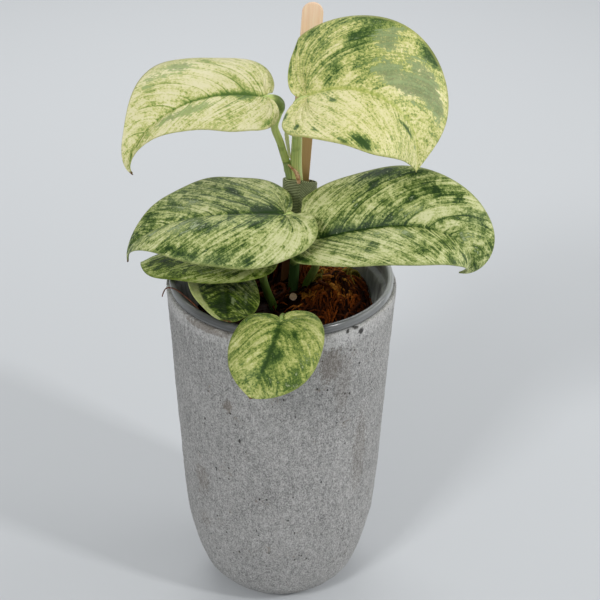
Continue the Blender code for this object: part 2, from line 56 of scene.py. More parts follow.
# Lamps in metres and watts: name, place, what it looks at, size, power.
LAMPS = (("left_softbox", (-1.0, -1.73, 1.75), PLANT_MIDDLE, (0.45, 0.45), 21.0),
         ("right_softbox", (1.70, -1.05, 1.6), PLANT_MIDDLE, (0.22, 0.22), 16.5),
         ("side_softbox", (1.4, 0.25, 0.55), PLANT_MIDDLE, (0.9, 0.6), 5.5),
         ("back_softbox", (-0.15, 0.85, 0.95), (-0.1, 0.75, 0.0), (0.9, 0.5), 4.6))
AIR_COLOUR = (0.97, 0.99, 1.0, 1.0)
AIR_POWER = 0.37
FLOOR_HALF = 6.0

POT_HEIGHT = 202.0
POT_OUTSIDE = ((30.4, 0.0), (38.1, 4.0), (46.0, 13.1), (50.9, 27.3), (55.8, 49.5), (58.1, 76.8),
               (60.2, 115.1), (62.3, 157.6), (64.6, 195.0), (64.9, 200.6))
POT_WALL = 6.3
POT_FLOOR = 9.0
POT_MOUTH_RADIUS = 61.3
POT_MOUTH_DEPTH = 12.0
POT_STEPS = 256
POT_ROW = 1.25
POT_SOFTENING = 14
NURSERY_STEPS = 160
# Middles and reaches of the chips and the stains, and how strong each stain is. The third chip is a
# painted shadow in the gap under the nursery rim, and the second stain is partly a real brown stain and
# partly a painted shadow beside the front leaf.
CHIPS_AND_RIM_SHADOW = (((36.4, -53.6, 201.2), (1.2, 3.0, 1.4)), ((43.8, -47.4, 198.6), (2.2, 3.0, 2.3)),
         ((41.0, -49.4, 202.0), (3.4, 2.4, 1.6)), ((-22.0, -58.5, 131.0), (1.2, 3.0, 2.4)))
STAINS_AND_LEAF_SHADOW = (((-38.0, -50.0, 200.5), (22.0, 20.0, 2.6), 0.55),
          ((27.8, -57.4, 182.0), (10.0, 8.0, 15.0), 0.42), ((-28.3, -55.3, 153.5), (4.0, 6.0, 5.0), 0.5),
          ((-44.0, -37.2, 92.0), (7.0, 9.0, 12.0), 0.3), ((-47.0, -40.0, 60.0), (8.0, 9.0, 10.0), 0.3),
          ((35.0, -53.0, 168.0), (6.0, 8.0, 26.0), 0.2), ((45.5, -40.0, 112.0), (6.0, 9.0, 36.0), 0.22))

RIM_BASE = 202.3
RIM_TOP = 207.3
RIM_OUT = 63.2
RIM_IN = 59.8
STEP_TOP = 197.0
STEP_LOW = 194.5
WALL_TOP_RADIUS = 57.9
WALL_LOW_RADIUS = 44.0
NURSERY_FLOOR = 102.0
SKIN = 1.0

MOSS_TOP = 172.0
MOSS_RADIUS = 52.5
MOUND_COLUMNS = 64
MOUND_ROWS = 24
# Across, back and reach of the fresh green patch, and of the clear place round the cut shoot.
FRESH_MOSS = (38.5, 27.0, 9.0)
CUT_END = (6.7, 13.5, 4.5)
TUFTS = 165
TUFT_STRANDS = 12
GATHERED_SHARE = 0.6
GATHERED_ACROSS = (29.0, 14.0)
GATHERED_BACK = (12.0, 17.0)
STRAND_SHAPE = (0.3, 0.8, 1.0, 1.0, 0.9, 0.6, 0.2)
STRAND_SIDES = 5
# Across, back, height and reach of each heap.
HEAPS = ((33.0, 20.0, 21.0, 19.0), (4.0, 43.0, 24.0, 16.0))

STAKE_WIDTH = 11.4
STAKE_THICK = 2.0
STAKE_TOP = Vector((15.9, 28.0, 356.5))
STAKE_LENGTH = 249.0
STAKE_LEAN = 3.7
STAKE_ARC_POINTS = 41
STAKE_EDGE = 0.28

TIE_CENTRE = Vector((9.5, 23.6, 241.5))
TIE_WIDTH = 19.8
TIE_DEPTH = 17.4
TIE_HEIGHT = 27.0
TIE_SQUARENESS = 2.9
TIE_LEAN = 1.8
TIE_RIDGE = 1.0
TIE_TOP_FRONT = 15.6
TIE_TOP_DROP = 6.5
TIE_TUCK = 1.2
TIE_THICK = 0.9
TIE_GROOVE = 0.22
TIE_COLUMNS = 140
ROWS_A_RIDGE = 5

BLADE_ROWS = 150
BLADE_COLUMNS = 30
BLADE_THICK = 0.55
MARGIN_POINTS = 401
BEND_POINTS = 161
LOBE_POINTS = 20
PETIOLE_SIDES = 18
PETIOLE_STEP = 1.6
MIDRIB_POINTS = 9
STEM_SIDES = 24
FIRST_ROW = 0.035
VEIN_SPACING = 10.0
VEIN_SWEEP = 0.2


@dataclass
class Leaf:
    """A heart shaped blade. Pairs are for its left and right half, seen from base to tip.
    droop, hook and lobe_droop bend its midrib down all along, at the tip and behind the base.
    turn and twist change its heading and roll on the way to the tip. folds lift its halves at the
    midrib and curls bend them down again. fold_strip says where the margin shows a pale band:
    from and to along the margin, and how far out."""
    name: str
    base: tuple
    heading: float
    pitch: float
    roll: float
    length: float
    half_widths: tuple
    lobes: tuple
    droop: float
    hook: float
    widest: float
    point: float
    folds: tuple
    curls: tuple
    stalk: tuple
    stalk_radii: tuple
    look: str
    green: float
    marks: dict
    droop_power: float = 1.5
    turn: float = 0.0
    twist: float = 0.0
    lobe_droop: float = 0.0
    ripple: float = 0.5
    dry_tip: float = 0.0
    fold_strip: tuple = (2.0, 2.0, 2.0)
    tip_fullness: float = 0.22


# Marks, in percent: place along the margin, place from midrib to margin, reach in both, strength.
LEAVES = (
    Leaf("leaf_upper_left", (-8.7, -6.0, 316.9), 206, 17, -22, 101.4, (26.8, 43.5), (2.9, 7.3),
         droop=81, droop_power=1.54, hook=74, turn=18, widest=0.17, point=0.49, lobe_droop=6,
         folds=(22, 23), curls=(52, 75),
         stalk=((1.8, 17.4, 268.5), (-1.3, 12.0, 282.2), (-4.3, 7.0, 293.4), (-2.7, 3.4, 302.0),
                (-0.9, -1.2, 309.6), (-3.9, -4.2, 314.3)),
         stalk_radii=(2.2, 2.1, 2.5), look="cream", green=0.28, dry_tip=0.012, tip_fullness=0.44,
         marks={
             "green": ((62, -72, 10, 16, 50), (47, -66, 2, 12, 40), (45.5, -28, 2, 20, 110),
                 (21, -87, 5, 15, 30), (33, -20, 5, 40, 30), (62, 2, 16, 10, 70), (86, 35, 8, 50, 90),
                 (62, 36, 12, 20, 50), (93, 70, 5, 30, 80), (58, 97, 2, 10, 40), (42, 90, 2, 8, 45),
                 (14, 40, 10, 40, 35)),
             "deep": ((46, 2, 16, 7, 80), (46, 14, 5, 10, 60), (25, 86, 5, 12, 90)),
             "silver": ((55, -62, 5, 12, 70), (60, -70, 6, 14, 80), (66, -86, 5, 12, 70),
                 (57, 33, 5, 22, 90), (66, 42, 6, 20, 90), (75, 38, 7, 30, 90)),
             "cream": ((52, -35, 6, 20, 40), (40, -60, 5, 20, 50), (40, -30, 5, 15, 50))}),
    Leaf("leaf_upper_right", (12.8, -18.0, 322.6), -9, 28, 36, 89.8, (46.0, 43.9), (12.4, 10.6),
         droop=135, droop_power=1.14, hook=-11, turn=9, twist=13, widest=0.35, point=0.15,
         lobe_droop=-25, folds=(2, 25), curls=(13, 2),
         stalk=((9.4, 21.8, 238.0), (8.8, 21.3, 248.0), (7.9, 19.0, 260.0), (7.6, 15.6, 271.0),
                (7.9, 9.5, 283.5), (8.0, 0.5, 296.5), (7.6, -9.0, 308.5), (8.6, -15.6, 317.8)),
         stalk_radii=(3.5, 2.9, 2.1), look="lime", green=0.31,
         marks={
             "green": ((40, 60, 22, 50, 50), (43, 93, 5, 8, 50), (53, 35, 2, 35, 50),
                 (56, 60, 1.5, 25, 50), (72, 62, 10, 30, 60), (57, 45, 5, 30, 60), (63, 43, 1.2, 10, 60),
                 (40, 60, 12, 30, 25), (30, 50, 10, 30, 15), (60, 30, 5, 20, 15), (73, 53, 3, 12, 50),
                 (77, -70, 5, 20, 35)),
             "deep": ((17, 90, 5, 10, 50), (27, 95, 5, 7, 60), (35, 93, 5, 7, 60), (50, 98, 5, 8, 60),
                 (53, 70, 2, 10, 80), (65.5, 96, 3, 9, 140), (53, 13, 1.2, 8, 50),
                 (54.5, 27, 1.2, 8, 50), (54, -23, 1, 4, 80), (13.5, -97, 1.5, 6, 160),
                 (26, -80, 1.5, 6, 160), (36, -80, 2, 6, 120), (44, -12, 2, 6, 100),
                 (48, -95, 2, 4, 100), (56, -86, 3.5, 9, 150), (58.5, -92, 2.5, 6, 140),
                 (79, -20, 4, 5, 140), (64, -88, 1.5, 6, 60)),
             "silver": ((60, 67, 3.5, 14, 100), (57, 84, 1.8, 14, 90), (66, 36, 4.5, 14, 100),
                 (71, 32, 4.5, 14, 100), (69, 73, 5, 14, 90), (74, 64, 6, 22, 90), (79, 78, 5, 18, 90),
                 (87, -25, 2, 12, 80), (73, 53, 3, 12, 90), (63, 47, 2.5, 10, 50)),
             "cream": ((45, -55, 40, 50, 35), (47, 77, 2.5, 12, 70), (55.5, 33, 1, 6, 70),
                 (62, 80, 1.2, 20, 50), (50.5, 58, 1.8, 10, 100), (29, 63, 5, 20, 40))}),
    Leaf("leaf_middle_left", (1.8, -14.0, 251.4), 187, 3, 1, 100.4, (41.3, 34.2), (15.9, 5.7),
         droop=65, droop_power=2.2, hook=35, turn=-13, twist=-15, widest=0.21, point=0.22,
         lobe_droop=-22, folds=(21, 11), curls=(81, 7),
         stalk=((6.7, 16.5, 204.3), (7.2, 12.6, 212.0), (8.4, 11.0, 222.0), (8.6, 10.6, 230.5),
                (7.2, 7.4, 238.0), (4.9, 0.4, 243.5), (4.0, -7.0, 247.5), (4.4, -11.5, 249.6)),
         stalk_radii=(2.1, 2.0, 1.9), look="mid", green=0.50, dry_tip=0.01, tip_fullness=0.25,
         marks={
             "green": ((55, -80, 3, 15, 40), (62, -60, 3, 20, 30), (72, -67, 3, 20, 35),
                 (62, 40, 6, 15, 100), (70, 20, 10, 15, 20)),
             "deep": ((45, -6, 16, 7, 90), (44, -15, 6, 12, 70), (51, -50, 1.5, 35, 70),
                 (80, -73, 5, 20, 40), (92, -50, 5, 40, 50), (50.5, 38, 1.8, 9, 70), (73, 85, 3, 8, 70),
                 (67, 90, 3, 6, 70), (47, 92, 1.8, 5, 80), (29.2, 50, 0.6, 15, 50), (36, 6, 5, 10, 70)),
             "silver": ((47, -50, 3, 30, 60), (33, -45, 8, 25, 80), (68, -45, 6, 20, 60),
                 (75, 35, 10, 30, 70)),
             "cream": ((47.5, -50, 2, 20, 40), (27, -85, 8, 20, 60), (35, 60, 14, 30, 70),
                 (19, 80, 12, 30, 50), (45, 75, 8, 20, 60), (60, 62, 5, 12, 45), (54, 47, 5, 14, 70))}),
    Leaf("leaf_middle_right", (13.0, -19.9, 238.0), -6, 18, 24, 111.5, (37.8, 32.3), (7.3, 7.2),
         droop=107, droop_power=2.75, hook=78, turn=1, twist=18, widest=0.41, point=0.15,
         lobe_droop=-39, folds=(26, 33), curls=(46, 27),
         stalk=((12.9, 24.0, 156.0), (12.9, 24.0, 168.0), (12.9, 24.0, 177.5), (14.0, 20.6, 187.0),
                (16.9, 14.0, 197.7), (19.3, 7.0, 207.6), (18.2, -4.0, 220.8), (12.6, -14.0, 230.0),
                (9.4, -18.6, 234.6)),
         stalk_radii=(2.3, 2.2, 1.9), look="mid", green=0.47, tip_fullness=0.38,
         marks={
             "green": ((58.8, 17, 4, 10, 70),),
             "deep": ((50, 90, 5, 8, 80), (52.2, 63, 1.5, 12, 90), (60, 84, 3, 8, 80),
                 (69, 68, 3, 10, 90), (74, 77, 2, 8, 90), (64.5, 50, 1.5, 12, 60), (50, 2, 14, 6, 80),
                 (51, -63, 3, 8, 50), (38, -63, 2, 6, 70), (20, -85, 6, 12, 60), (66, -73, 5, 10, 60),
                 (82, 72, 4, 15, 50)),
             "silver": ((67, 28, 4, 12, 70), (61, -20, 7, 12, 80), (84, 25, 5, 30, 50)),
             "cream": ((70, 22, 3, 12, 50), (77, 90, 3, 10, 60), (72, 98, 3, 5, 50), (32, 45, 8, 20, 30),
                 (35, -75, 16, 25, 60), (58, -70, 18, 25, 50), (45, 67, 6, 15, 50))}),
    Leaf("leaf_lower_left", (-10.7, -6.0, 226.7), 157, -6, -12, 92.9, (37.9, 32.1), (15.5, 13.1),
         droop=43, droop_power=1.37, hook=-9, turn=-15, twist=15, widest=0.42, point=0.36,
         folds=(11, 10), curls=(25, 37),
         stalk=((-4.6, 12.0, 156.0), (-4.6, 12.0, 168.0), (-4.8, 11.9, 177.5), (-8.2, 7.4, 190.0),
                (-10.4, 1.0, 203.4), (-9.0, -4.6, 213.5), (-6.2, -7.6, 221.0), (-6.6, -7.6, 225.0)),
         stalk_radii=(2.7, 2.4, 1.9), look="shade", green=0.44, dry_tip=0.02,
         marks={
             "deep": ((68, 68, 10, 20, 50), (36.6, 80, 2, 5, 80)),
             "silver": ((45, 75, 10, 20, 50),),
             "cream": ((60, 95, 20, 6, 35), (50, 75, 8, 15, 60))}),
    Leaf("leaf_inner_left", (-33.2, 5.0, 204.5), -85, -1, -6, 71.5, (19.6, 23.0), (6.9, 7.0),
         droop=-20, hook=-12, twist=-3, widest=0.34, point=0.18, lobe_droop=15,
         folds=(1, -1), curls=(6, -40), ripple=0.3,
         stalk=((-17.5, 13.0, 156.0), (-17.5, 13.0, 168.0), (-17.6, 13.1, 177.0), (-20.5, 15.4, 187.0),
                (-28.0, 16.4, 195.0), (-33.4, 12.0, 201.8)),
         stalk_radii=(1.8, 1.7, 1.5), look="shade", green=0.68, dry_tip=0.03,
         fold_strip=(0.40, 0.93, 0.66),
         marks={
             "deep": ((75, -10, 12, 20, 70), (60, 42, 8, 6, 30)),
             "silver": ((54, 23, 3, 10, 90), (66, 26, 6, 6, 90), (55, 62, 10, 6, 90)),
             "cream": ((66, -85, 20, 16, 90), (50, 45, 6, 12, 80), (71, 70, 6, 15, 60))}),
    Leaf("leaf_front", (0.3, -60.1, 211.5), -97, 4, -5, 49.2, (26.2, 24.8), (13.1, 6.4),
         droop=53, droop_power=0.6, hook=8, turn=-30, twist=-3, widest=0.39, point=0.15,
         lobe_droop=-11, folds=(7, 10), curls=(17, 45), ripple=0.4,
         stalk=((3.0, -20.0, 156.0), (3.0, -20.0, 168.0), (3.0, -20.2, 177.0), (2.8, -27.0, 189.0),
                (2.4, -35.5, 198.5), (1.6, -46.0, 206.5), (1.0, -54.0, 210.0)),
         stalk_radii=(1.7, 1.6, 1.3), look="young", green=0.50, dry_tip=0.01, tip_fullness=0.75,
         marks={
             "green": ((86, 15, 5, 30, 50), (41, 68, 5, 10, 50), (88, -50, 5, 20, 50)),
             "deep": ((60, 0, 10, 6, 100), (69, 20, 3, 10, 90), (75, 0, 6, 6, 70), (55, 38, 3, 8, 80),
                 (35, 0, 10, 30, 40)),
             "silver": ((20, 60, 8, 30, 60), (28, -50, 8, 30, 60), (55, 75, 12, 30, 50)),
             "cream": ((63, -80, 10, 15, 50), (60, 33, 2, 6, 70), (66, 55, 2, 8, 70),
                 (62, -35, 8, 18, 50), (75, -50, 6, 20, 50))}),
)

KNUCKLE = (-1.5, -2.0, 312.0)
STEM_ROUTE = ((6.0, 22.0, 154.0), (6.0, 22.0, 168.0), (6.0, 22.0, 177.5), (7.0, 21.6, 195.0),
              (7.4, 21.2, 212.0), (6.2, 21.0, 226.0), (5.0, 20.6, 240.0), (4.3, 19.8, 256.0),
              (2.2, 17.7, 267.6))
STEM_RADII = (3.2, 2.8, 2.3)
STEM_JOINTS = (181.0, 204.0, 228.0, 262.0)
SHOOT_ROUTE = ((6.3, 22.0, 179.4), (6.5, 18.8, 180.6), (6.7, 15.9, 182.0))
SHOOT_RADIUS = 2.0
SHEATH_ROUTE = ((4.1, 13.0, 272.0), (3.4, 12.3, 277.0), (2.5, 11.4, 284.0), (1.9, 10.4, 292.0))
SHEATH_WIDTHS = (0.9, 1.5, 2.1, 1.8)
HUSK_ROUTE = ((3.0, 14.2, 267.4), (6.2, 13.3, 264.6), (8.3, 13.2, 261.4), (9.3, 13.8, 256.0))
HUSK_WIDTHS = (0.8, 1.5, 2.4, 1.7)
ROOT_ROUTE = ((-38.0, -31.0, 177.0), (-39.8, -33.0, 186.0), (-42.2, -36.0, 196.0),
              (-44.9, -37.0, 204.6), (-49.7, -31.0, 206.4), (-55.3, -25.6, 208.4),
              (-59.8, -21.6, 208.6), (-63.4, -20.2, 207.6), (-65.2, -20.0, 204.2),
              (-65.9, -18.2, 201.2))
ROOT_RADIUS = 0.45
ROOT_SIDES = 10
ROOT_THICKNESS = (1.9, 1.7, 1.0, 0.7)

# Of each leaf look: linear colours from least to most green, its silvery grey green, the weights
# of patches, streaks and flecks, and the weight of the veins.
LOOKS = {
    "cream": (((0.84, 0.79, 0.50), (0.76, 0.73, 0.38), (0.58, 0.59, 0.21), (0.36, 0.43, 0.12),
               (0.21, 0.30, 0.06), (0.09, 0.17, 0.03)), (0.31, 0.39, 0.14), (1.3, 0.6, 1.0), 0.32),
    "lime": (((0.88, 0.82, 0.46), (0.73, 0.71, 0.29), (0.52, 0.55, 0.155), (0.29, 0.37, 0.10),
              (0.14, 0.22, 0.045), (0.035, 0.085, 0.012)), (0.26, 0.33, 0.15), (1.2, 0.85, 1.3), 0.14),
    "mid": (((0.71, 0.72, 0.40), (0.55, 0.59, 0.25), (0.37, 0.43, 0.14), (0.19, 0.26, 0.065),
             (0.080, 0.14, 0.022), (0.016, 0.046, 0.005)), (0.32, 0.38, 0.21), (1.8, 1.1, 1.1), 0.26),
    "young": (((0.66, 0.67, 0.32), (0.51, 0.54, 0.18), (0.34, 0.40, 0.10), (0.19, 0.26, 0.055),
               (0.085, 0.15, 0.026), (0.028, 0.066, 0.009)), (0.34, 0.39, 0.20), (1.5, 0.6, 1.0), 0.06),
    # The shade look is darker all over: painted shade for the two inner leaves that lie under the others.
    "shade": (((0.56, 0.60, 0.26), (0.40, 0.46, 0.14), (0.23, 0.31, 0.05), (0.105, 0.165, 0.015),
               (0.038, 0.075, 0.004), (0.010, 0.028, 0.0005)), (0.22, 0.27, 0.12), (1.9, 1.1, 1.0), 0.05),
}
LEAF_STOPS = (0.0, 0.28, 0.44, 0.58, 0.74, 0.98)
MOSS_STOPS = (0.05, 0.27, 0.55, 0.86, 0.97)
# Near black tones of the moss bed under the tufts: painted shade for the deep gaps between the strands.
MOSS_BED_SHADE_TONES = ((0.004, 0.001, 0.0003), (0.012, 0.003, 0.001), (0.02, 0.006, 0.001),
                  (0.03, 0.012, 0.002), (0.04, 0.02, 0.004))
MOSS_TONES = ((0.013, 0.0026, 0.0003), (0.28, 0.062, 0.006), (0.74, 0.30, 0.05),
              (0.50, 0.24, 0.04), (0.26, 0.22, 0.035))


class Finish:
    """A material being put together from shader nodes."""

    def __init__(self, name):
        self.material = bpy.data.materials.new(name)
        self.material.use_nodes = True
        self.tree = self.material.node_tree
        self.shader = self.tree.nodes["Principled BSDF"]

    def put(self, kind, inputs=None, **settings):
        made = self.tree.nodes.new(kind)
        for key, value in settings.items():
            setattr(made, key, value)
        for key, value in (inputs or {}).items():
            self.feed(made.inputs[key], value)
        return made

    def feed(self, socket, value):
        if isinstance(value, bpy.types.NodeSocket):
            self.tree.links.new(value, socket)
        elif isinstance(value, tuple) and socket.type == 'RGBA' and len(value) == 3:
            socket.default_value = (*value, 1.0)
        else:
            socket.default_value = value

    def set(self, **values):
        for key, value in values.items():
            self.feed(self.shader.inputs[key.replace("_", " ")], value)

    def place(self, *stretch):
        """Object coordinates in millimetres, stretched by one number or by three."""
        spot = self.put("ShaderNodeTexCoord").outputs["Object"]
        scale = tuple(1000.0 * s for s in (stretch if len(stretch) == 3 else 3 * stretch))
        return self.put("ShaderNodeMapping", {"Vector": spot, "Scale": scale}).outputs[0]

    def flow(self, layer, stretch=(1.0, 1.0, 1.0), shift=(0.0, 0.0, 0.0)):
        """The piece's own UV layer, stretched."""
        spot = self.put("ShaderNodeUVMap", uv_map=layer).outputs[0]
        inputs = {"Vector": spot, "Scale": stretch, "Location": shift}
        return self.put("ShaderNodeMapping", inputs).outputs[0]

    def layer(self, name):
        return self.put("ShaderNodeAttribute", attribute_name=name).outputs["Fac"]

    def grain(self, where, detail, roughness, distortion=0.0):
        inputs = {"Vector": where, "Scale": 1.0, "Detail": detail, "Roughness": roughness,
                  "Distortion": distortion}
        return self.put("ShaderNodeTexNoise", inputs).outputs[0]

    def cells(self, where):
        """Distance from the middles of round cells."""
        return self.put("ShaderNodeTexVoronoi", {"Vector": where, "Scale": 1.0}).outputs["Distance"]

    def calc(self, operation, first, second=0.0, third=0.0):
        made = self.put("ShaderNodeMath", operation=operation)
        for socket, value in zip(made.inputs, (first, second, third)):
            self.feed(socket, value)
        return made.outputs[0]

    def total(self, start, *parts):
        """start plus each (value, middle, strength)."""
        for value, middle, strength in parts:
            away = self.calc('SUBTRACT', value, middle)
            start = self.calc('MULTIPLY_ADD', away, strength, start)
        return start

    def rise(self, value, low, high, top=1.0):
        """0 below low, top above high, smooth between."""
        inputs = {"Value": value, "From Min": low, "From Max": high, "To Max": top}
        return self.put("ShaderNodeMapRange", inputs, interpolation_type='SMOOTHSTEP').outputs[0]

    def blend(self, share, first, second):
        made = self.put("ShaderNodeMix", data_type='RGBA')
        self.feed(made.inputs[0], share)
        self.feed(made.inputs[6], first)
        self.feed(made.inputs[7], second)
        return made.outputs[2]

    def ramp(self, value, stops, colours):
        """Colours along a value, blended between their stops."""
        made = self.put("ShaderNodeValToRGB", {"Fac": value})
        band = made.color_ramp.elements
        band[0].position, band[1].position = stops[0], stops[-1]
        for place in stops[1:-1]:
            band.new(place)
        for element, colour in zip(band, colours):
            element.color = (*colour, 1.0)
        return made.outputs[0]

    def parts_of(self, where):
        return self.put("ShaderNodeSeparateXYZ", {"Vector": where}).outputs[:3]

    def near(self, middle, size, rough):
        """1 round a place on the object and 0 beyond size millimetres from it, with a ragged edge."""
        spot = self.put("ShaderNodeTexCoord").outputs["Object"]
        inputs = {"Vector": spot, "Scale": tuple(1000.0 / reach for reach in size),
                  "Location": tuple(-at / reach for at, reach in zip(middle, size))}
        moved = self.put("ShaderNodeMapping", inputs).outputs[0]
        gap = self.put("ShaderNodeVectorMath", {"Vector": moved}, operation='LENGTH').outputs["Value"]
        return self.rise(self.total(gap, (rough, 0.5, 1.6)), 1.0, 0.5)

    def relief(self, height, depth, strength=1.0):
        """Bump of that depth in millimetres."""
        inputs = {"Height": height, "Distance": depth * MM, "Strength": strength}
        bump = self.put("ShaderNodeBump", inputs)
        self.feed(self.shader.inputs["Normal"], bump.outputs[0])


def put_in_scene(name, data):
    """Shows a mesh, lamp or camera."""
    made = bpy.data.objects.new(name, data)
    bpy.context.scene.collection.objects.link(made)
    return made


def piece(name, shape, finishes, stands_for=()):
    """Turns a bmesh into a riding piece of the plant."""
    mesh = bpy.data.meshes.new(name)
    shape.to_mesh(mesh)
    shape.free()
    mesh.polygons.foreach_set("use_smooth", [True] * len(mesh.polygons))
    for finish in finishes:
        mesh.materials.append(finish)
    made = put_in_scene(name, mesh)
    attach(made, ROOT)
    if stands_for:
        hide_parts(*stands_for)
    return made


def thicken(made, thickness, offset):
    """Gives a sheet its thickness in millimetres."""
    skin = made.modifiers.new("thickness", 'SOLIDIFY')
    skin.thickness = thickness * MM
    skin.offset = offset
    return skin


def seal(shape):
    """Closes the seams and poles of a shape and turns its faces outward."""
    bmesh.ops.remove_doubles(shape, verts=shape.verts, dist=MERGE)
    bmesh.ops.recalc_face_normals(shape, faces=shape.faces)


def lay_uv(faces, uv, place):
    """Gives each corner the place that follows from its two grid coordinates."""
    for face in faces:
        for loop in face.loops:
            loop[uv].uv = place(loop.vert.co.x, loop.vert.co.y)


def reach_along(line):
    """Length of a line up to each of its points."""
    return np.concatenate([[0.0], np.cumsum(np.linalg.norm(np.diff(line, axis=0), axis=1))])


def between(places, known, values):
    """Rows of values read between the known places."""
    return np.stack([np.interp(places, known, column) for column in values.T], axis=-1)


def even_steps(line, step):
    """The same line with points about one step apart."""
    reach = reach_along(line)
    count = max(2, round(reach[-1] / step)) + 1
    return between(np.linspace(0.0, reach[-1], count), reach, line)


def smooth_route(points, step):
    """Evenly spaced points on a smooth curve through the given ones."""
    knots = [Vector(p) for p in points]
    knots = [2 * knots[0] - knots[1]] + knots + [2 * knots[-1] - knots[-2]]
    fine = []
    for before, start, end, after in zip(knots, knots[1:], knots[2:], knots[3:]):
        for t in np.linspace(0.0, 1.0, SPLINE_POINTS, endpoint=False):
            bend = 2 * start + (end - before) * t
            bend += (2 * before - 5 * start + 4 * end - after) * t ** 2
            bend += (3 * start - before - 3 * end + after) * t ** 3
            fine.append(0.5 * bend)
    fine.append(knots[-2])
    return even_steps(np.array([tuple(p) for p in fine]), step)


def spread(values, count):
    """A few values spread evenly over many places."""
    return np.interp(np.linspace(0.0, 1.0, count), np.linspace(0.0, 1.0, len(values)), values)


def route_frames(route):
    """Two steady cross directions for each point of a route."""
    ahead = np.gradient(route, axis=0)
    ahead /= np.linalg.norm(ahead, axis=1)[:, None]
    side = np.cross(ahead[0], (0.31, 0.95, 0.11))
    sides = []
    for direction in ahead:
        side = side - direction * np.dot(side, direction)
        side = side / np.linalg.norm(side)
        sides.append(side)
    sides = np.array(sides)
    return sides, np.cross(ahead, sides)


def roll_grid(shape, route, radii, sides, uv=None, flute=0.0, flutes=0):
    """Rolls a grid round a route into an open tube, in millimetres."""
    count = len(route)
    verts = bmesh.ops.create_grid(shape, x_segments=count - 1, y_segments=sides, size=1.0)["verts"]
    across, over = route_frames(route)
    if uv:
        faces = {face for vert in verts for face in vert.link_faces}
        lay_uv(faces, uv, lambda x, y: (0.5 * (x + 1.0), 0.5 * (y + 1.0)))
    for vert in verts:
        number = round(0.5 * (vert.co.x + 1.0) * (count - 1))
        angle = -math.pi * (vert.co.y + 1.0)
        reach = radii[number] * (1.0 + flute * math.cos(flutes * angle))
        spoke = across[number] * math.cos(angle) + over[number] * math.sin(angle)
        vert.co = Vector(route[number] + reach * spoke) * MM
    return verts


def roll_tube(shape, route, radii, sides, uv, flute=0.0, flutes=0):
    """A closed round stem along a route."""
    verts = roll_grid(shape, route, radii, sides, uv, flute, flutes)
    bmesh.ops.remove_doubles(shape, verts=verts, dist=MERGE)
    open_edges = [edge for edge in shape.edges if edge.is_boundary]
    bmesh.ops.holes_fill(shape, edges=open_edges, sides=sides + 2)


def bezier(points, count):
    """A curve with four control points."""
    t = np.linspace(0.0, 1.0, count)[:, None]
    a, b, c, d = (np.array(p, float) for p in points)
    return (1 - t) ** 3 * a + 3 * t * (1 - t) ** 2 * b + 3 * t * t * (1 - t) * c + t ** 3 * d


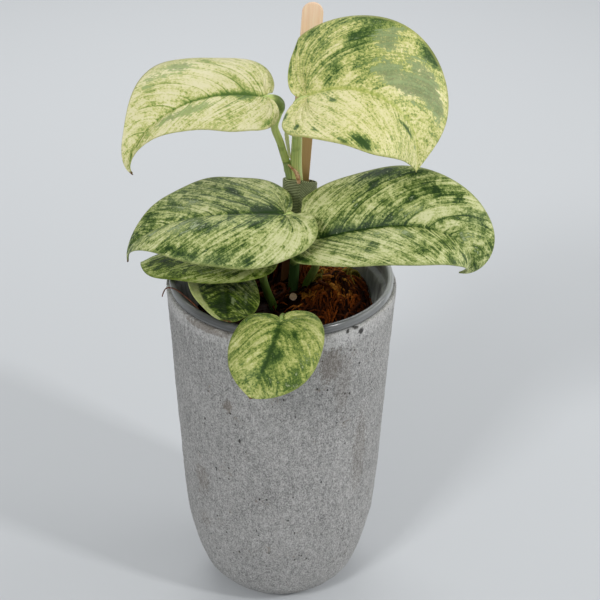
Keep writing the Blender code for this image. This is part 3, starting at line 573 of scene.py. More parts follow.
class Blade:
    """Places points of a leaf: u runs round the margin from sinus to tip, t from midrib to margin."""

    def __init__(self, leaf):
        self.leaf = leaf
        self.margins = [self.margin(side) for side in (0, 1)]
        starts = [self.vein_starts(edge) for edge in self.margins]
        self.starts = 0.5 * (starts[0] + starts[1])
        self.along = np.linspace(0.0, 1.0, len(self.starts))
        self.lay_midrib()

    def margin(self, side):
        """Half of the flat outline: back round the lobe, out to the widest place, in to the tip."""
        leaf = self.leaf
        wide, lobe = leaf.half_widths[side], leaf.lobes[side]
        reach, place = leaf.length, leaf.widest * leaf.length
        sharp = leaf.point
        back = bezier(((0, 0), (-0.55 * lobe, 0), (-lobe, 0.12 * wide), (-lobe, 0.45 * wide)), 60)
        out = bezier(((-lobe, 0.45 * wide), (-lobe, 0.8 * wide),
                      (0.5 * (place - lobe), wide), (place, wide)), 60)
        tip = bezier(((place, wide), (0.5 * (place + reach), wide),
                      (reach - sharp * (reach - place),
                       leaf.tip_fullness * wide * (1 - sharp) + 0.02 * wide),
                      (reach, 0)), 120)
        line = np.concatenate([back[:-1], out[:-1], tip])
        arc = reach_along(line)
        self.margin_length = arc[-1]
        return between(np.linspace(0.0, arc[-1], MARGIN_POINTS), arc, line)

    def vein_starts(self, edge):
        """Where on the midrib the side vein to each margin point begins."""
        reach = self.leaf.length
        fade = 1.0 - (np.clip(edge[:, 0], 0.0, reach) / reach) ** 3
        starts = np.maximum.accumulate(np.maximum(0.0, edge[:, 0] - 0.55 * edge[:, 1] * fade))
        starts[-1] = reach
        return starts

    def lay_midrib(self):
        """The bent midrib, and behind the base the line that the lobes follow."""
        leaf = self.leaf
        longest = max(leaf.lobes)
        ahead = np.linspace(0.0, leaf.length, BEND_POINTS)
        behind = np.linspace(-longest, 0.0, LOBE_POINTS, endpoint=False)
        x = np.concatenate([behind, ahead])
        u = np.clip(x / leaf.length, 0.0, 1.0)
        pitch = leaf.pitch - leaf.droop * u ** leaf.droop_power
        pitch = pitch - leaf.hook * np.clip((u - 0.8) / 0.2, 0.0, 1.0) ** 1.5
        pitch = np.radians(pitch + leaf.lobe_droop * np.clip(-x / longest, 0.0, 1.0))
        heading = np.radians(leaf.heading + leaf.turn * u)
        roll = np.radians(leaf.roll + leaf.twist * u)
        forward = np.stack([np.cos(pitch) * np.cos(heading), np.cos(pitch) * np.sin(heading),
                            np.sin(pitch)], axis=-1)
        level = np.stack([-np.sin(heading), np.cos(heading), np.zeros_like(heading)], axis=-1)
        upward = np.cross(forward, level)
        steps = 0.5 * (forward[1:] + forward[:-1]) * np.diff(x)[:, None]
        line = np.concatenate([np.zeros((1, 3)), np.cumsum(steps, axis=0)])
        line = line - line[len(behind)] + np.array(leaf.base)
        self.x, self.line = x, line
        self.left = level * np.cos(roll)[:, None] + upward * np.sin(roll)[:, None]
        self.up = upward * np.cos(roll)[:, None] - level * np.sin(roll)[:, None]

    def points(self, u, t):
        """Places on the upper face for arrays of u and t."""
        leaf = self.leaf
        out = np.abs(t)
        left = t >= 0.0
        edges = [between(u, self.along, margin) for margin in self.margins]
        edge = np.where(left[:, None], edges[0], edges[1])
        start = np.interp(u, self.along, self.starts)
        x = start + (edge[:, 0] - start) * out ** 1.5
        y = edge[:, 1] * out
        fold = np.radians(np.where(left, *leaf.folds))
        bend = np.radians(np.where(left, *leaf.curls)) / np.where(left, *leaf.half_widths) + 1e-9
        across = (np.sin(fold) - np.sin(fold - bend * y)) / bend
        rise = (np.cos(fold - bend * y) - np.cos(fold)) / bend
        rise = rise + leaf.ripple * out ** 2 * np.sin(8 * np.pi * u + np.where(left, 0.0, 1.0))
        rise = rise + self.fine_relief(u, out, y)
        across = np.where(left, across, -across)
        middle, side, up = (between(x, self.x, values) for values in (self.line, self.left, self.up))
        return middle + across[:, None] * side + rise[:, None] * up

    def vein_place(self, u, out):
        """The same all along a side vein, which sweeps towards the tip as it nears the margin."""
        return self.margin_length * (u - VEIN_SWEEP * 4.0 * u * (1.0 - u) * out ** 1.3)

    def fine_relief(self, u, out, y):
        """A groove over the midrib, and soft puckers between the side veins."""
        groove = -0.5 * np.exp(-(y / 1.2) ** 2) * (1.0 - u) ** 0.3
        phase = np.cos(2 * np.pi * self.vein_place(u, out) / VEIN_SPACING)
        vein = np.clip(phase, 0.0, 1.0) ** 4 - 0.35 * (1.0 - phase)
        fade = np.clip(out * 4.0, 0.0, 1.0) * np.clip((1.0 - out) * 2.5, 0.0, 1.0) * (1.0 - u) ** 0.4
        swell = np.sin(11.0 * u + 2.0) * np.sin(5.0 * out + 3.0 * u)
        return groove - 0.34 * vein * fade + 0.35 * swell * fade

    def under_midrib(self, x, depth):
        """A place below the midrib, x from the base."""
        return between(x, self.x, self.line) - depth * between(x, self.x, self.up)


def leaf_marks(leaf, u, t):
    """How green and how silvery the blade is at each place."""
    greening = {"green": 0.30, "deep": 0.60, "cream": -0.35}
    silvering = {"silver": 0.66, "cream": -0.4}
    shares = {"pigment": np.full(len(u), leaf.green), "silver": np.zeros(len(u))}
    for kind, spots in leaf.marks.items():
        for where, out, along, across, strength in 0.01 * np.array(spots):
            spot = strength * np.exp(-((u - where) / along) ** 2 - ((t - out) / across) ** 2)
            shares["pigment"] += greening.get(kind, 0.0) * spot
            shares["silver"] += silvering.get(kind, 0.0) * spot
    shares["dry"] = np.clip((u - 1.0 + 2.0 * leaf.dry_tip) / (leaf.dry_tip + 1e-6), 0.0, 1.0)
    low, high, edge = leaf.fold_strip
    shares["fold"] = np.clip((-t - edge) * 14.0, 0.0, 0.9) * ((u > low) & (u < high))
    return shares


def margin_share(x):
    """Place along the margin for the x of a grid that runs from -1 to 1."""
    return FIRST_ROW + (1.0 - FIRST_ROW) * 0.5 * (x + 1.0)


def lay_blade(leaf, finishes):
    """The blade as a sheet thickened downward, its underside in the second finish."""
    blade = Blade(leaf)
    sheet = bmesh.new()
    uv = sheet.loops.layers.uv.new("blade")
    layers = {kind: sheet.verts.layers.float.new(kind) for kind in ("pigment", "silver", "dry", "fold")}
    bmesh.ops.create_grid(sheet, x_segments=BLADE_ROWS, y_segments=2 * BLADE_COLUMNS, size=1.0)
    verts = list(sheet.verts)
    spots = np.array([vert.co[:2] for vert in verts])
    u, t = margin_share(spots[:, 0]), spots[:, 1]
    lay_uv(sheet.faces, uv, lambda x, y: (0.1 * blade.vein_place(margin_share(x), abs(y)), y))
    shares = leaf_marks(leaf, u, t)
    for kind, layer in layers.items():
        for vert, value in zip(verts, shares[kind]):
            vert[layer] = float(value)
    for vert, place in zip(verts, blade.points(u, t) * MM):
        vert.co = place
    bmesh.ops.remove_doubles(sheet, verts=sheet.verts, dist=2e-5)
    made = piece(leaf.name + "_blade", sheet, finishes, (leaf.name,))
    thicken(made, BLADE_THICK, -1.0).material_offset = 1
    return blade


def lay_petiole(leaf, blade, finish):
    """The petiole, carried on under the blade as its raised midrib."""
    runs = np.linspace(0.01, 0.86, MIDRIB_POINTS) * leaf.length
    girths = 0.25 + 1.05 * (1.0 - runs / leaf.length) ** 1.2
    under = [tuple(blade.under_midrib(x, girth + 0.45)) for x, girth in zip(runs, girths)]
    route = smooth_route(list(leaf.stalk) + under, PETIOLE_STEP)
    reach = reach_along(route)
    bend = reach[-1] - runs[-1]
    radii = np.interp(reach, (0.0, 0.5 * bend, bend - 1.0, bend + 3.0, reach[-1]),
                      (*leaf.stalk_radii, girths[0], 0.25))
    knuckle = np.exp(-((reach - bend + 7.0) / 5.0) ** 2)
    radii = radii * (1.0 + 0.10 * knuckle)
    shape = bmesh.new()
    uv = shape.loops.layers.uv.new("stalk")
    roll_tube(shape, route, radii, PETIOLE_SIDES, uv, flute=0.025, flutes=6)
    bmesh.ops.recalc_face_normals(shape, faces=shape.faces)
    piece(leaf.name + "_petiole", shape, [finish])


def leaf_finish(name, look, underside=False):
    """Variegated blade: patches, soft streaks along the side veins and flecks, on one scale of green."""
    tones, silver, weights, vein_weight = LOOKS[look]
    skin = Finish(name)
    along, out, _ = skin.parts_of(skin.flow("blade"))
    rib = skin.calc('ABSOLUTE', out)
    patches = skin.grain(skin.flow("blade", (1.9, 1.6, 1.0), (0.0, 0.0, 0.37)), 5.0, 0.62, 0.9)
    blots = skin.grain(skin.place(0.16), 5.0, 0.62, 0.5)
    streaks = skin.grain(skin.flow("blade", (5.5, 3.4, 1.0), (4.0, 1.0, 0.11)), 4.0, 0.6, 0.5)
    away = skin.rise(along, 0.4, 2.4)
    streaks = skin.calc('MULTIPLY', skin.total(-0.5, (streaks, 0.0, 1.0)), away)
    streaks = skin.total(0.5, (streaks, 0.0, 1.0))
    flecks = skin.grain(skin.place(0.7), 4.0, 0.68)
    specks = skin.grain(skin.place(1.15), 2.0, 0.6, 0.4)
    mottle = ((patches, 0.5, weights[0]), (blots, 0.5, 0.8 * weights[0]), (streaks, 0.5, weights[1]),
              (flecks, 0.5, weights[2]))
    veins = skin.calc('PINGPONG', skin.total(along, (patches, 0.5, 0.20)), 0.05 * VEIN_SPACING)
    vein = skin.calc('MULTIPLY', skin.rise(veins, 0.075, 0.0), skin.rise(rib, 0.95, 0.4))
    vein = skin.calc('MULTIPLY', vein, away)
    pigment = skin.total(skin.layer("pigment"), *mottle, (vein, 0.0, vein_weight))
    pigment = skin.total(pigment, (skin.rise(rib, 0.05, 0.0), 0.0, 0.7 * vein_weight))
    pigment = skin.total(pigment, (skin.rise(specks, 0.59, 0.65), 0.0, 0.22 * weights[2]))
    pigment = skin.total(pigment, (skin.rise(specks, 0.41, 0.34), 0.0, -0.16))
    colour = skin.ramp(pigment, LEAF_STOPS, tones)
    if look == "lime":
        colour = skin.blend(skin.rise(rib, 0.05, 0.012, 0.5), colour, (0.50, 0.56, 0.12))
    sheen = skin.total(skin.layer("silver"), (patches, 0.5, 1.3), (blots, 0.5, 1.5), (flecks, 0.5, 1.0),
                       (streaks, 0.5, 0.8))
    shade = skin.total(0.5, (streaks, 0.5, 2.2), (flecks, 0.5, 2.0), (patches, 0.5, 1.5))
    grey = skin.blend(skin.rise(shade, 0.0, 1.0), tuple(0.62 * c for c in silver),
                      tuple(1.35 * c for c in silver))
    grey = skin.blend(skin.rise(specks, 0.58, 0.66, 0.5), grey, tones[1])
    colour = skin.blend(skin.rise(sheen, 0.36, 0.62, 0.84), colour, grey)
    colour = skin.blend(skin.rise(rib, 0.955, 0.985, 0.6), colour, tuple(0.8 * c for c in tones[2]))
    pale = skin.blend(skin.rise(flecks, 0.4, 0.6), tones[1], tones[0])
    colour = skin.blend(skin.layer("fold"), colour, pale)
    colour = skin.blend(skin.layer("dry"), colour, (0.13, 0.055, 0.018))
    if underside:
        colour = skin.blend(0.55, colour, tones[2])
    skin.set(Base_Color=colour)
    skin.set(Roughness=skin.total(0.52 if underside else 0.43, (flecks, 0.5, 0.3), (sheen, 0.3, 0.06)))
    skin.set(Specular_IOR_Level=0.12 if look == "shade" else 0.25)
    skin.relief(skin.total(flecks, (streaks, 0.5, 1.2)), 0.25, 0.8)
    return skin.material


def stalk_finish(name, pale, mid, dark, fresh_from, fresh_to):
    """A fresh stem with fine lengthwise streaks, darker and deeper green lower down."""
    skin = Finish(name)
    streak = skin.grain(skin.flow("stalk", (3.0, 30.0, 1.0)), 3.0, 0.6)
    blotch = skin.grain(skin.place(0.16), 3.0, 0.5)
    _, _, height = skin.parts_of(skin.place(1.0))
    colour = skin.blend(skin.rise(streak, 0.36, 0.66), mid, pale)
    low = skin.rise(skin.total(height, (blotch, 0.5, 25.0)), fresh_to, fresh_from, 0.9)
    colour = skin.blend(low, colour, dark)
    colour = skin.blend(skin.rise(blotch, 0.56, 0.70, 0.3), colour, dark)
    knuckle = skin.calc('MULTIPLY', skin.near(KNUCKLE, (8.0, 8.0, 8.5), blotch), 0.85)
    colour = skin.blend(knuckle, colour, (0.13, 0.21, 0.05))
    skin.set(Base_Color=colour, Subsurface_Weight=0.1, Subsurface_Scale=0.002, Specular_IOR_Level=0.35)
    skin.set(Roughness=skin.total(0.42, (streak, 0.5, 0.3)))
    skin.relief(streak, 0.2)
    return skin.material


def concrete_finish():
    """Rough cast concrete: even grey, coarse sand, faint upright scores, dark pits and brown stains, with
    a painted shadow under the nursery rim and a painted leaf shadow in one stain.
    """
    skin = Finish("cast_concrete")
    sand = skin.grain(skin.place(1.3, 1.3, 0.9), 4.0, 0.75)
    grit = skin.grain(skin.place(0.45, 0.45, 0.32), 4.0, 0.7)
    upright = skin.grain(skin.place(0.5, 0.5, 0.07), 4.0, 0.65)
    cloud = skin.grain(skin.place(0.035, 0.035, 0.025), 3.0, 0.5)
    pits = skin.cells(skin.place(0.30, 0.30, 0.22))
    few = skin.grain(skin.place(0.07), 2.0, 0.5)
    _, _, height = skin.parts_of(skin.place(1.0))
    worn = skin.rise(skin.total(height, (grit, 0.5, 14.0)), 191.0, 199.0)
    tone = skin.total(0.5, (sand, 0.5, 2.2), (grit, 0.5, 0.8), (upright, 0.5, 0.35), (cloud, 0.5, 0.25))
    tone = skin.total(tone, (worn, 0.0, 0.25))
    colour = skin.blend(skin.rise(tone, 0.0, 1.0), (0.195, 0.193, 0.188), (0.71, 0.70, 0.685))
    holes_and_rim_shadow = skin.calc('MULTIPLY', skin.rise(pits, 0.20, 0.12), skin.rise(few, 0.56, 0.62))
    # Dark chips; one of them is a painted shadow under the nursery rim.
    for middle, size in CHIPS_AND_RIM_SHADOW:
        holes_and_rim_shadow = skin.calc('MAXIMUM', holes_and_rim_shadow, skin.near(middle, size, grit))
    colour = skin.blend(skin.calc('MULTIPLY', holes_and_rim_shadow, 0.92), colour, (0.045, 0.043, 0.04))
    rust_and_leaf_shadow = skin.calc('MULTIPLY', skin.rise(few, 0.62, 0.68), skin.rise(grit, 0.52, 0.60, 0.5))
    # One stain is partly a painted shadow beside the front leaf.
    for middle, size, strength in STAINS_AND_LEAF_SHADOW:
        stain = skin.calc('MULTIPLY', skin.near(middle, size, grit), strength)
        rust_and_leaf_shadow = skin.calc('MAXIMUM', rust_and_leaf_shadow, stain)
    colour = skin.blend(rust_and_leaf_shadow, colour, (0.17, 0.125, 0.085))
    skin.set(Base_Color=colour, Roughness=skin.total(0.9, (sand, 0.5, 0.2)), Specular_IOR_Level=0.2)
    relief = skin.total(0.5, (sand, 0.5, 1.2), (grit, 0.5, 0.9), (upright, 0.5, 0.2), (holes_and_rim_shadow, 0.0, -0.6))
    skin.relief(relief, 1.0)
    return skin.material


def smoky_finish():
    """Smooth grey plastic, a little see through and rubbed in bands. The wall below the rim is painted
    paler as painted light, and the rim's flanks at left and right are painted pale as painted light and
    reflection."""
    skin = Finish("smoky_plastic_clear")
    scuff = skin.grain(skin.place(0.04, 0.04, 0.6), 3.0, 0.5)
    smear = skin.grain(skin.place(0.10, 0.10, 0.03), 3.0, 0.6)
    dust = skin.grain(skin.place(1.6), 2.0, 0.5)
    across, _, height = skin.parts_of(skin.place(1.0))
    colour = skin.blend(skin.rise(scuff, 0.35, 0.70), (0.080, 0.083, 0.082), (0.155, 0.16, 0.158))
    # Paler grey for the wall below the rim: painted light.
    wall = skin.blend(skin.rise(smear, 0.35, 0.62), (0.15, 0.155, 0.15), (0.34, 0.35, 0.34))
    colour = skin.blend(skin.rise(height, 198.0, 194.0), colour, wall)
    colour = skin.blend(skin.rise(smear, 0.60, 0.74, 0.30), colour, (0.42, 0.43, 0.42))
    # Pale bands on the rim's left and right flanks: painted light and reflection.
    painted_flank_light = skin.total(0.0, (skin.rise(across, 20.0, 50.0), 0.0, 0.2),
                       (skin.rise(across, 56.0, 63.0), 0.0, 0.7),
                       (skin.rise(across, -45.0, -64.0), 0.0, 0.28))
    painted_flank_light = skin.calc('MULTIPLY', painted_flank_light, skin.rise(skin.total(height, (smear, 0.5, 20.0)), 190.0, 198.0))
    colour = skin.blend(painted_flank_light, colour, (0.66, 0.68, 0.68))
    skin.set(Base_Color=colour, Specular_IOR_Level=0.6)
    skin.set(Roughness=skin.total(0.17, (smear, 0.5, 0.35), (dust, 0.5, 0.1)))
    skin.set(Alpha=0.90)
    skin.relief(smear, 0.10, 0.5)
    return skin.material


def moss_finish(name, tones, layer=None):
    """Dry sphagnum fibre from dark red brown to ochre and yellow green."""
    skin = Finish(name)
    fibre = skin.grain(skin.place(0.9), 3.0, 0.7)
    tone = skin.layer(layer) if layer else fibre
    colour = skin.ramp(tone, MOSS_STOPS, tones)
    colour = skin.blend(skin.rise(fibre, 0.60, 0.42, 0.6), colour, tones[0])
    skin.set(Base_Color=colour, Roughness=skin.total(0.66, (fibre, 0.5, 0.5)), Specular_IOR_Level=0.08)
    skin.relief(fibre, 0.5)
    return skin.material


def wood_finish():
    """Pale planed wood with fine upright fibres, orange brown where damp near the moss and dark red brown
    towards its foot.
    """
    skin = Finish("pale_stick_wood")
    fibre = skin.grain(skin.place(1.7, 1.7, 0.045), 4.0, 0.6)
    band = skin.grain(skin.place(0.4, 0.4, 0.012), 2.0, 0.5)
    colour = skin.blend(skin.rise(fibre, 0.32, 0.68), (0.94, 0.62, 0.41), (1.0, 0.78, 0.57))
    colour = skin.blend(skin.rise(band, 0.45, 0.7, 0.4), colour, (0.88, 0.61, 0.40))
    _, _, height = skin.parts_of(skin.place(1.0))
    damp = skin.rise(skin.total(height, (band, 0.5, 30.0)), 325.0, 285.0, 0.85)
    colour = skin.blend(damp, colour, (0.70, 0.42, 0.20))
    stain = skin.rise(skin.total(height, (band, 0.5, 60.0)), 240.0, 205.0, 0.92)
    colour = skin.blend(stain, colour, (0.24, 0.075, 0.03))
    skin.set(Base_Color=colour, Roughness=skin.total(0.6, (fibre, 0.5, 0.3)), Specular_IOR_Level=0.3)
    skin.relief(fibre, 0.15)
    return skin.material


def tie_finish():
    """Dull olive rubber, with painted light on the ridges and painted shade in the grooves."""
    skin = Finish("ribbed_tie_rubber")
    dust = skin.grain(skin.place(0.8), 3.0, 0.6)
    height = skin.layer("ridge")
    tone = skin.total(height, (dust, 0.5, 0.8))
    # Ridge crests painted pale and grooves painted dark: painted light and shade.
    colour = skin.blend(skin.rise(tone, 0.1, 1.0), (0.03, 0.045, 0.014), (0.42, 0.46, 0.24))
    skin.set(Base_Color=colour, Roughness=skin.total(0.72, (dust, 0.5, 0.3)), Specular_IOR_Level=0.3)
    skin.relief(dust, 0.08)
    return skin.material


def dry_finish(name, dark, pale):
    """A dried skin with fine lengthwise fibres."""
    skin = Finish(name)
    fibre = skin.grain(skin.flow("strip", (2.0, 14.0, 1.0)), 3.0, 0.6)
    spot = skin.grain(skin.place(0.6), 3.0, 0.6)
    colour = skin.blend(skin.rise(skin.total(fibre, (spot, 0.5, 0.6)), 0.36, 0.64), dark, pale)
    skin.set(Base_Color=colour, Roughness=skin.total(0.6, (fibre, 0.5, 0.3)))
    skin.relief(fibre, 0.12)
    return skin.material


def cut_finish():
    """The pale pith of the cut shoot: its own peach tone, painted brighter as painted light, since it
    sits in the shade of the leaves.
    """
    skin = Finish("cut_pith_painted_light")
    cells = skin.cells(skin.place(2.5))
    # The pith's own peach, made near white as painted light.
    colour = skin.blend(skin.rise(cells, 0.1, 0.7), (1.0, 0.56, 0.36), (1.0, 0.74, 0.54))
    skin.set(Base_Color=colour, Roughness=0.7)
    skin.relief(cells, 0.1)
    return skin.material


def spin_profile(profile, steps):
    """A closed turned shape; the profile starts and ends on the axis or closes on itself."""
    shape = bmesh.new()
    line = [shape.verts.new((radius * MM, 0.0, height * MM)) for radius, height in profile]
    edges = [shape.edges.new(pair) for pair in zip(line, line[1:])]
    bmesh.ops.spin(shape, geom=line + edges, cent=(0, 0, 0), axis=(0, 0, 1), angle=2 * math.pi,
                   steps=steps, use_merge=True)
    seal(shape)
    return shape


def rough_wall(shape):
    """Gives the outside of the concrete its uneven cast surface."""
    for vert in shape.verts:
        x, y, z = (c / MM for c in vert.co)
        radius = math.hypot(x, y)
        if radius < POT_MOUTH_RADIUS - 3.0 and z > 14.0 and not outside_face(radius, z):
            continue
        swell = field.noise(Vector((0.022 * x, 0.022 * y, 0.018 * z)))
        grit = field.noise(Vector((0.28 * x, 0.28 * y, 0.13 * z)))
        sand = field.noise(Vector((0.75 * x, 0.75 * y, 0.55 * z)))
        lift = 0.30 * swell + 0.26 * grit + 0.22 * sand
        lift *= min(1.0, z / 3.0)
        if radius > 1.0 and z < POT_HEIGHT - 0.6:
            vert.co.x += lift * MM * x / radius
            vert.co.y += lift * MM * y / radius
        elif z >= POT_HEIGHT - 0.6:
            vert.co.z += min(0.0, lift - 0.15) * MM


def outside_face(radius, height):
    """Whether a point of the concrete lies on its outer side."""
    radii, heights = zip(*POT_OUTSIDE)
    return radius > np.interp(height, heights, radii) - 0.5 * POT_WALL


def make_concrete_pot(finish):
    """A tall tapered pot with a lip that rolls in; its mouth is widened for the pot inside it."""
    outside = soften(even_steps(np.array(POT_OUTSIDE), POT_ROW), POT_SOFTENING)
    lip = [(64.6, 201.5), (64.1, 201.9), (63.4, 202.0), (62.4, 202.0), (61.5, 201.95),
           (61.3, 201.7), (61.3, 198.0), (61.3, POT_HEIGHT - POT_MOUTH_DEPTH)]
    inside = [(radius - POT_WALL, height) for radius, height in reversed(POT_OUTSIDE[2:9])]
    inside = even_steps(np.array(inside), 6.0)
    profile = [(0.0, 0.0), (15.0, 0.0), *outside, *lip, *inside, (20.0, POT_FLOOR), (0.0, POT_FLOOR)]
    shape = spin_profile(profile, POT_STEPS)
    rough_wall(shape)
    piece("concrete_pot_cast", shape, [finish], ("concrete_pot",))


def soften(line, rounds):
    """Rounds the corners of a profile, keeping its ends."""
    for _ in range(rounds):
        line[1:-1] = 0.25 * line[:-2] + 0.5 * line[1:-1] + 0.25 * line[2:]
    return line


def make_nursery_pot(finish):
    """A thin pot that hangs by its hooked rim, with a step below the rim."""
    collar = RIM_IN + SKIN
    rim = [(collar, STEP_TOP), (collar, 205.6), (61.3, 206.2), (RIM_OUT - 1.5, 206.25),
           (RIM_OUT - 1.0, 205.7), (RIM_OUT - 0.9, RIM_BASE + 0.2), (RIM_OUT - 0.5, RIM_BASE),
           (RIM_OUT - 0.1, RIM_BASE + 0.2), (RIM_OUT, RIM_BASE + 1.0), (RIM_OUT - 0.05, 205.8),
           (RIM_OUT - 0.4, 206.7), (RIM_OUT - 1.0, 207.15), (61.5, RIM_TOP), (60.6, 207.1),
           (60.05, 206.6), (RIM_IN, 205.8), (RIM_IN, 201.0), (RIM_IN, STEP_TOP + 0.8),
           (RIM_IN - 0.4, STEP_TOP + 0.2)]
    wall = [(WALL_TOP_RADIUS - SKIN + 0.3, STEP_LOW + 0.8), (WALL_TOP_RADIUS - SKIN, STEP_LOW),
            (WALL_LOW_RADIUS - SKIN, NURSERY_FLOOR + 1.4), (0.0, NURSERY_FLOOR + 1.4)]
    under = [(0.0, NURSERY_FLOOR), (WALL_LOW_RADIUS, NURSERY_FLOOR), (WALL_TOP_RADIUS, STEP_LOW - 0.6)]
    shape = spin_profile(under + rim + wall, NURSERY_STEPS)
    piece("nursery_pot_clear", shape, [finish], ("nursery_pot",))


def moss_height(x, y):
    """The moss is heaped up at the right and, behind the stems, at the back."""
    top = MOSS_TOP + 4.0 * (1.0 - (math.hypot(x, y) / MOSS_RADIUS) ** 2)
    for across, back, height, reach in HEAPS:
        top += height * math.exp(-((x - across) ** 2 + (y - back) ** 2) / reach ** 2)
    return top + 2.5 * field.noise(Vector((0.09 * x, 0.09 * y, 0.3)))


def lay_moss_mound(shape):
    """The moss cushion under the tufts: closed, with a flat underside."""
    bmesh.ops.create_grid(shape, x_segments=MOUND_COLUMNS, y_segments=MOUND_ROWS, size=1.0)
    for vert in shape.verts:
        angle = math.pi * vert.co.x
        above = vert.co.y < 0.0
        radius = (MOSS_RADIUS - 1.0) * (1.0 - abs(vert.co.y))
        x, y = radius * math.cos(angle), radius * math.sin(angle)
        depth = 2.2 + 1.2 * field.noise(Vector((0.5 * x, 0.5 * y, 2.0)))
        z = moss_height(x, y) - depth if above else MOSS_TOP - 2.0
        vert.co = Vector((x, y, max(z, MOSS_TOP - 1.5) if above else z)) * MM


def moss_painted_light(x, y):
    """Painted light and shade on the moss: painted dark at the stems, at the right wall and in front,
    where little light reaches it, and painted lighter at the back.
    """
    left = 1.0 / (1.0 + math.exp((8.0 - x) / 5.0))
    right = 1.0 / (1.0 + math.exp((x - 41.0) / 2.5))
    front = 1.0 / (1.0 + math.exp((5.5 - y) / 1.5))
    back = 1.0 / (1.0 + math.exp((18.0 - y) / 3.0))
    return (0.25 + 0.75 * left) * (0.2 + 0.8 * right) * (0.3 + 0.7 * front + 0.5 * back)


def make_moss_strands(finish):
    """Loose fleshy moss in curled tufts lying over each other, each tuft combed one way."""
    draw = random.Random(11)
    shape = bmesh.new()
    tone = shape.verts.layers.float.new("tone")
    lay_moss_mound(shape)
    for _ in range(TUFTS):
        angle = draw.uniform(0.0, 2 * math.pi)
        radius = (MOSS_RADIUS - 2.0) * math.sqrt(draw.random())
        x, y = radius * math.cos(angle), radius * math.sin(angle)
        if draw.random() < GATHERED_SHARE:
            x, y = draw.gauss(*GATHERED_ACROSS), draw.gauss(*GATHERED_BACK)
        heading = draw.uniform(0.0, 2 * math.pi)
        turn = draw.uniform(-2.2, 2.2)
        length = draw.uniform(9.0, 20.0)
        lift = draw.uniform(0.5, 5.0)
        fresh = math.hypot(x - FRESH_MOSS[0], y - FRESH_MOSS[1]) < FRESH_MOSS[2] and draw.random() < 0.6
        ripe = 0.9 if fresh else 0.75 * draw.random() ** 2.2
        plump = draw.choice((0.6, 0.8, 1.0) if fresh else (0.6, 0.8, 1.0, 1.2, 1.4))
        for _ in range(TUFT_STRANDS):
            spot = (x + draw.gauss(0.0, 2.2), y + draw.gauss(0.0, 2.2))
            depth = draw.uniform(-2.5, 1.5)
            route = strand_route(spot, heading + draw.gauss(0.0, 0.35), turn, length,
                                 lift + draw.uniform(-0.8, 0.8), depth)
            if np.min(np.hypot(route[:, 0] - CUT_END[0], route[:, 1] - CUT_END[1])) < CUT_END[2]:
                continue
            girth = plump * draw.uniform(0.45, 1.0)
            verts = roll_grid(shape, route, girth * np.array(STRAND_SHAPE), STRAND_SIDES)
            # Strands that lie deeper get a darker tone: painted shade.
            value = ripe + 0.35 * draw.random() ** 2 + 0.08 * depth
            for vert in verts:
                # Each strand's tone is scaled by the painted light and shade of the moss where it lies.
                share = 0.95 if fresh else moss_painted_light(vert.co.x / MM, vert.co.y / MM)
                vert[tone] = min(1.0, max(0.02, share * value))
    seal(shape)
    piece("moss_strands", shape, [finish])


def strand_route(spot, heading, turn, length, lift, depth):
    """An arched curl through a place on the moss."""
    points = []
    for share in np.linspace(0.0, 1.0, len(STRAND_SHAPE)):
        way = heading + turn * share
        px = spot[0] + length * (share - 0.5) * math.cos(way)
        py = spot[1] + length * (share - 0.5) * math.sin(way)
        rim = math.hypot(px, py)
        if rim > MOSS_RADIUS:
            px, py = px * MOSS_RADIUS / rim, py * MOSS_RADIUS / rim
        points.append((px, py, moss_height(px, py) + depth + lift * math.sin(math.pi * share)))
    return np.array(points)


def make_stake(finish):
    """A flat planed stick with a half round top and eased edges."""
    half = 0.5 * STAKE_WIDTH
    turns = np.linspace(0.0, math.pi, STAKE_ARC_POINTS)
    arc = [(half * math.cos(turn), -half + half * math.sin(turn)) for turn in turns]
    outline = arc + [(-half, -STAKE_LENGTH), (half, -STAKE_LENGTH)]
    shape = bmesh.new()
    verts = [shape.verts.new((x * MM, -0.5 * STAKE_THICK * MM, z * MM)) for x, z in outline]
    face = shape.faces.new(verts)
    made = bmesh.ops.extrude_face_region(shape, geom=[face])
    moved = [item for item in made["geom"] if isinstance(item, bmesh.types.BMVert)]
    bmesh.ops.translate(shape, verts=moved, vec=(0.0, STAKE_THICK * MM, 0.0))
    bmesh.ops.recalc_face_normals(shape, faces=shape.faces)
    ends = [edge for edge in shape.edges if edge.calc_face_angle(0.0) > 1.0]
    bmesh.ops.bevel(shape, geom=ends, offset=STAKE_EDGE * MM, segments=3, profile=0.5,
                    material=-1, affect='EDGES')
    lean = Matrix.Rotation(math.radians(STAKE_LEAN), 4, 'Y')
    bmesh.ops.transform(shape, matrix=Matrix.Translation(STAKE_TOP * MM) @ lean, verts=shape.verts)
    made = piece("wooden_stake_planed", shape, [finish], ("wooden_stake",))
    made.data.set_sharp_from_angle(angle=math.radians(35.0))


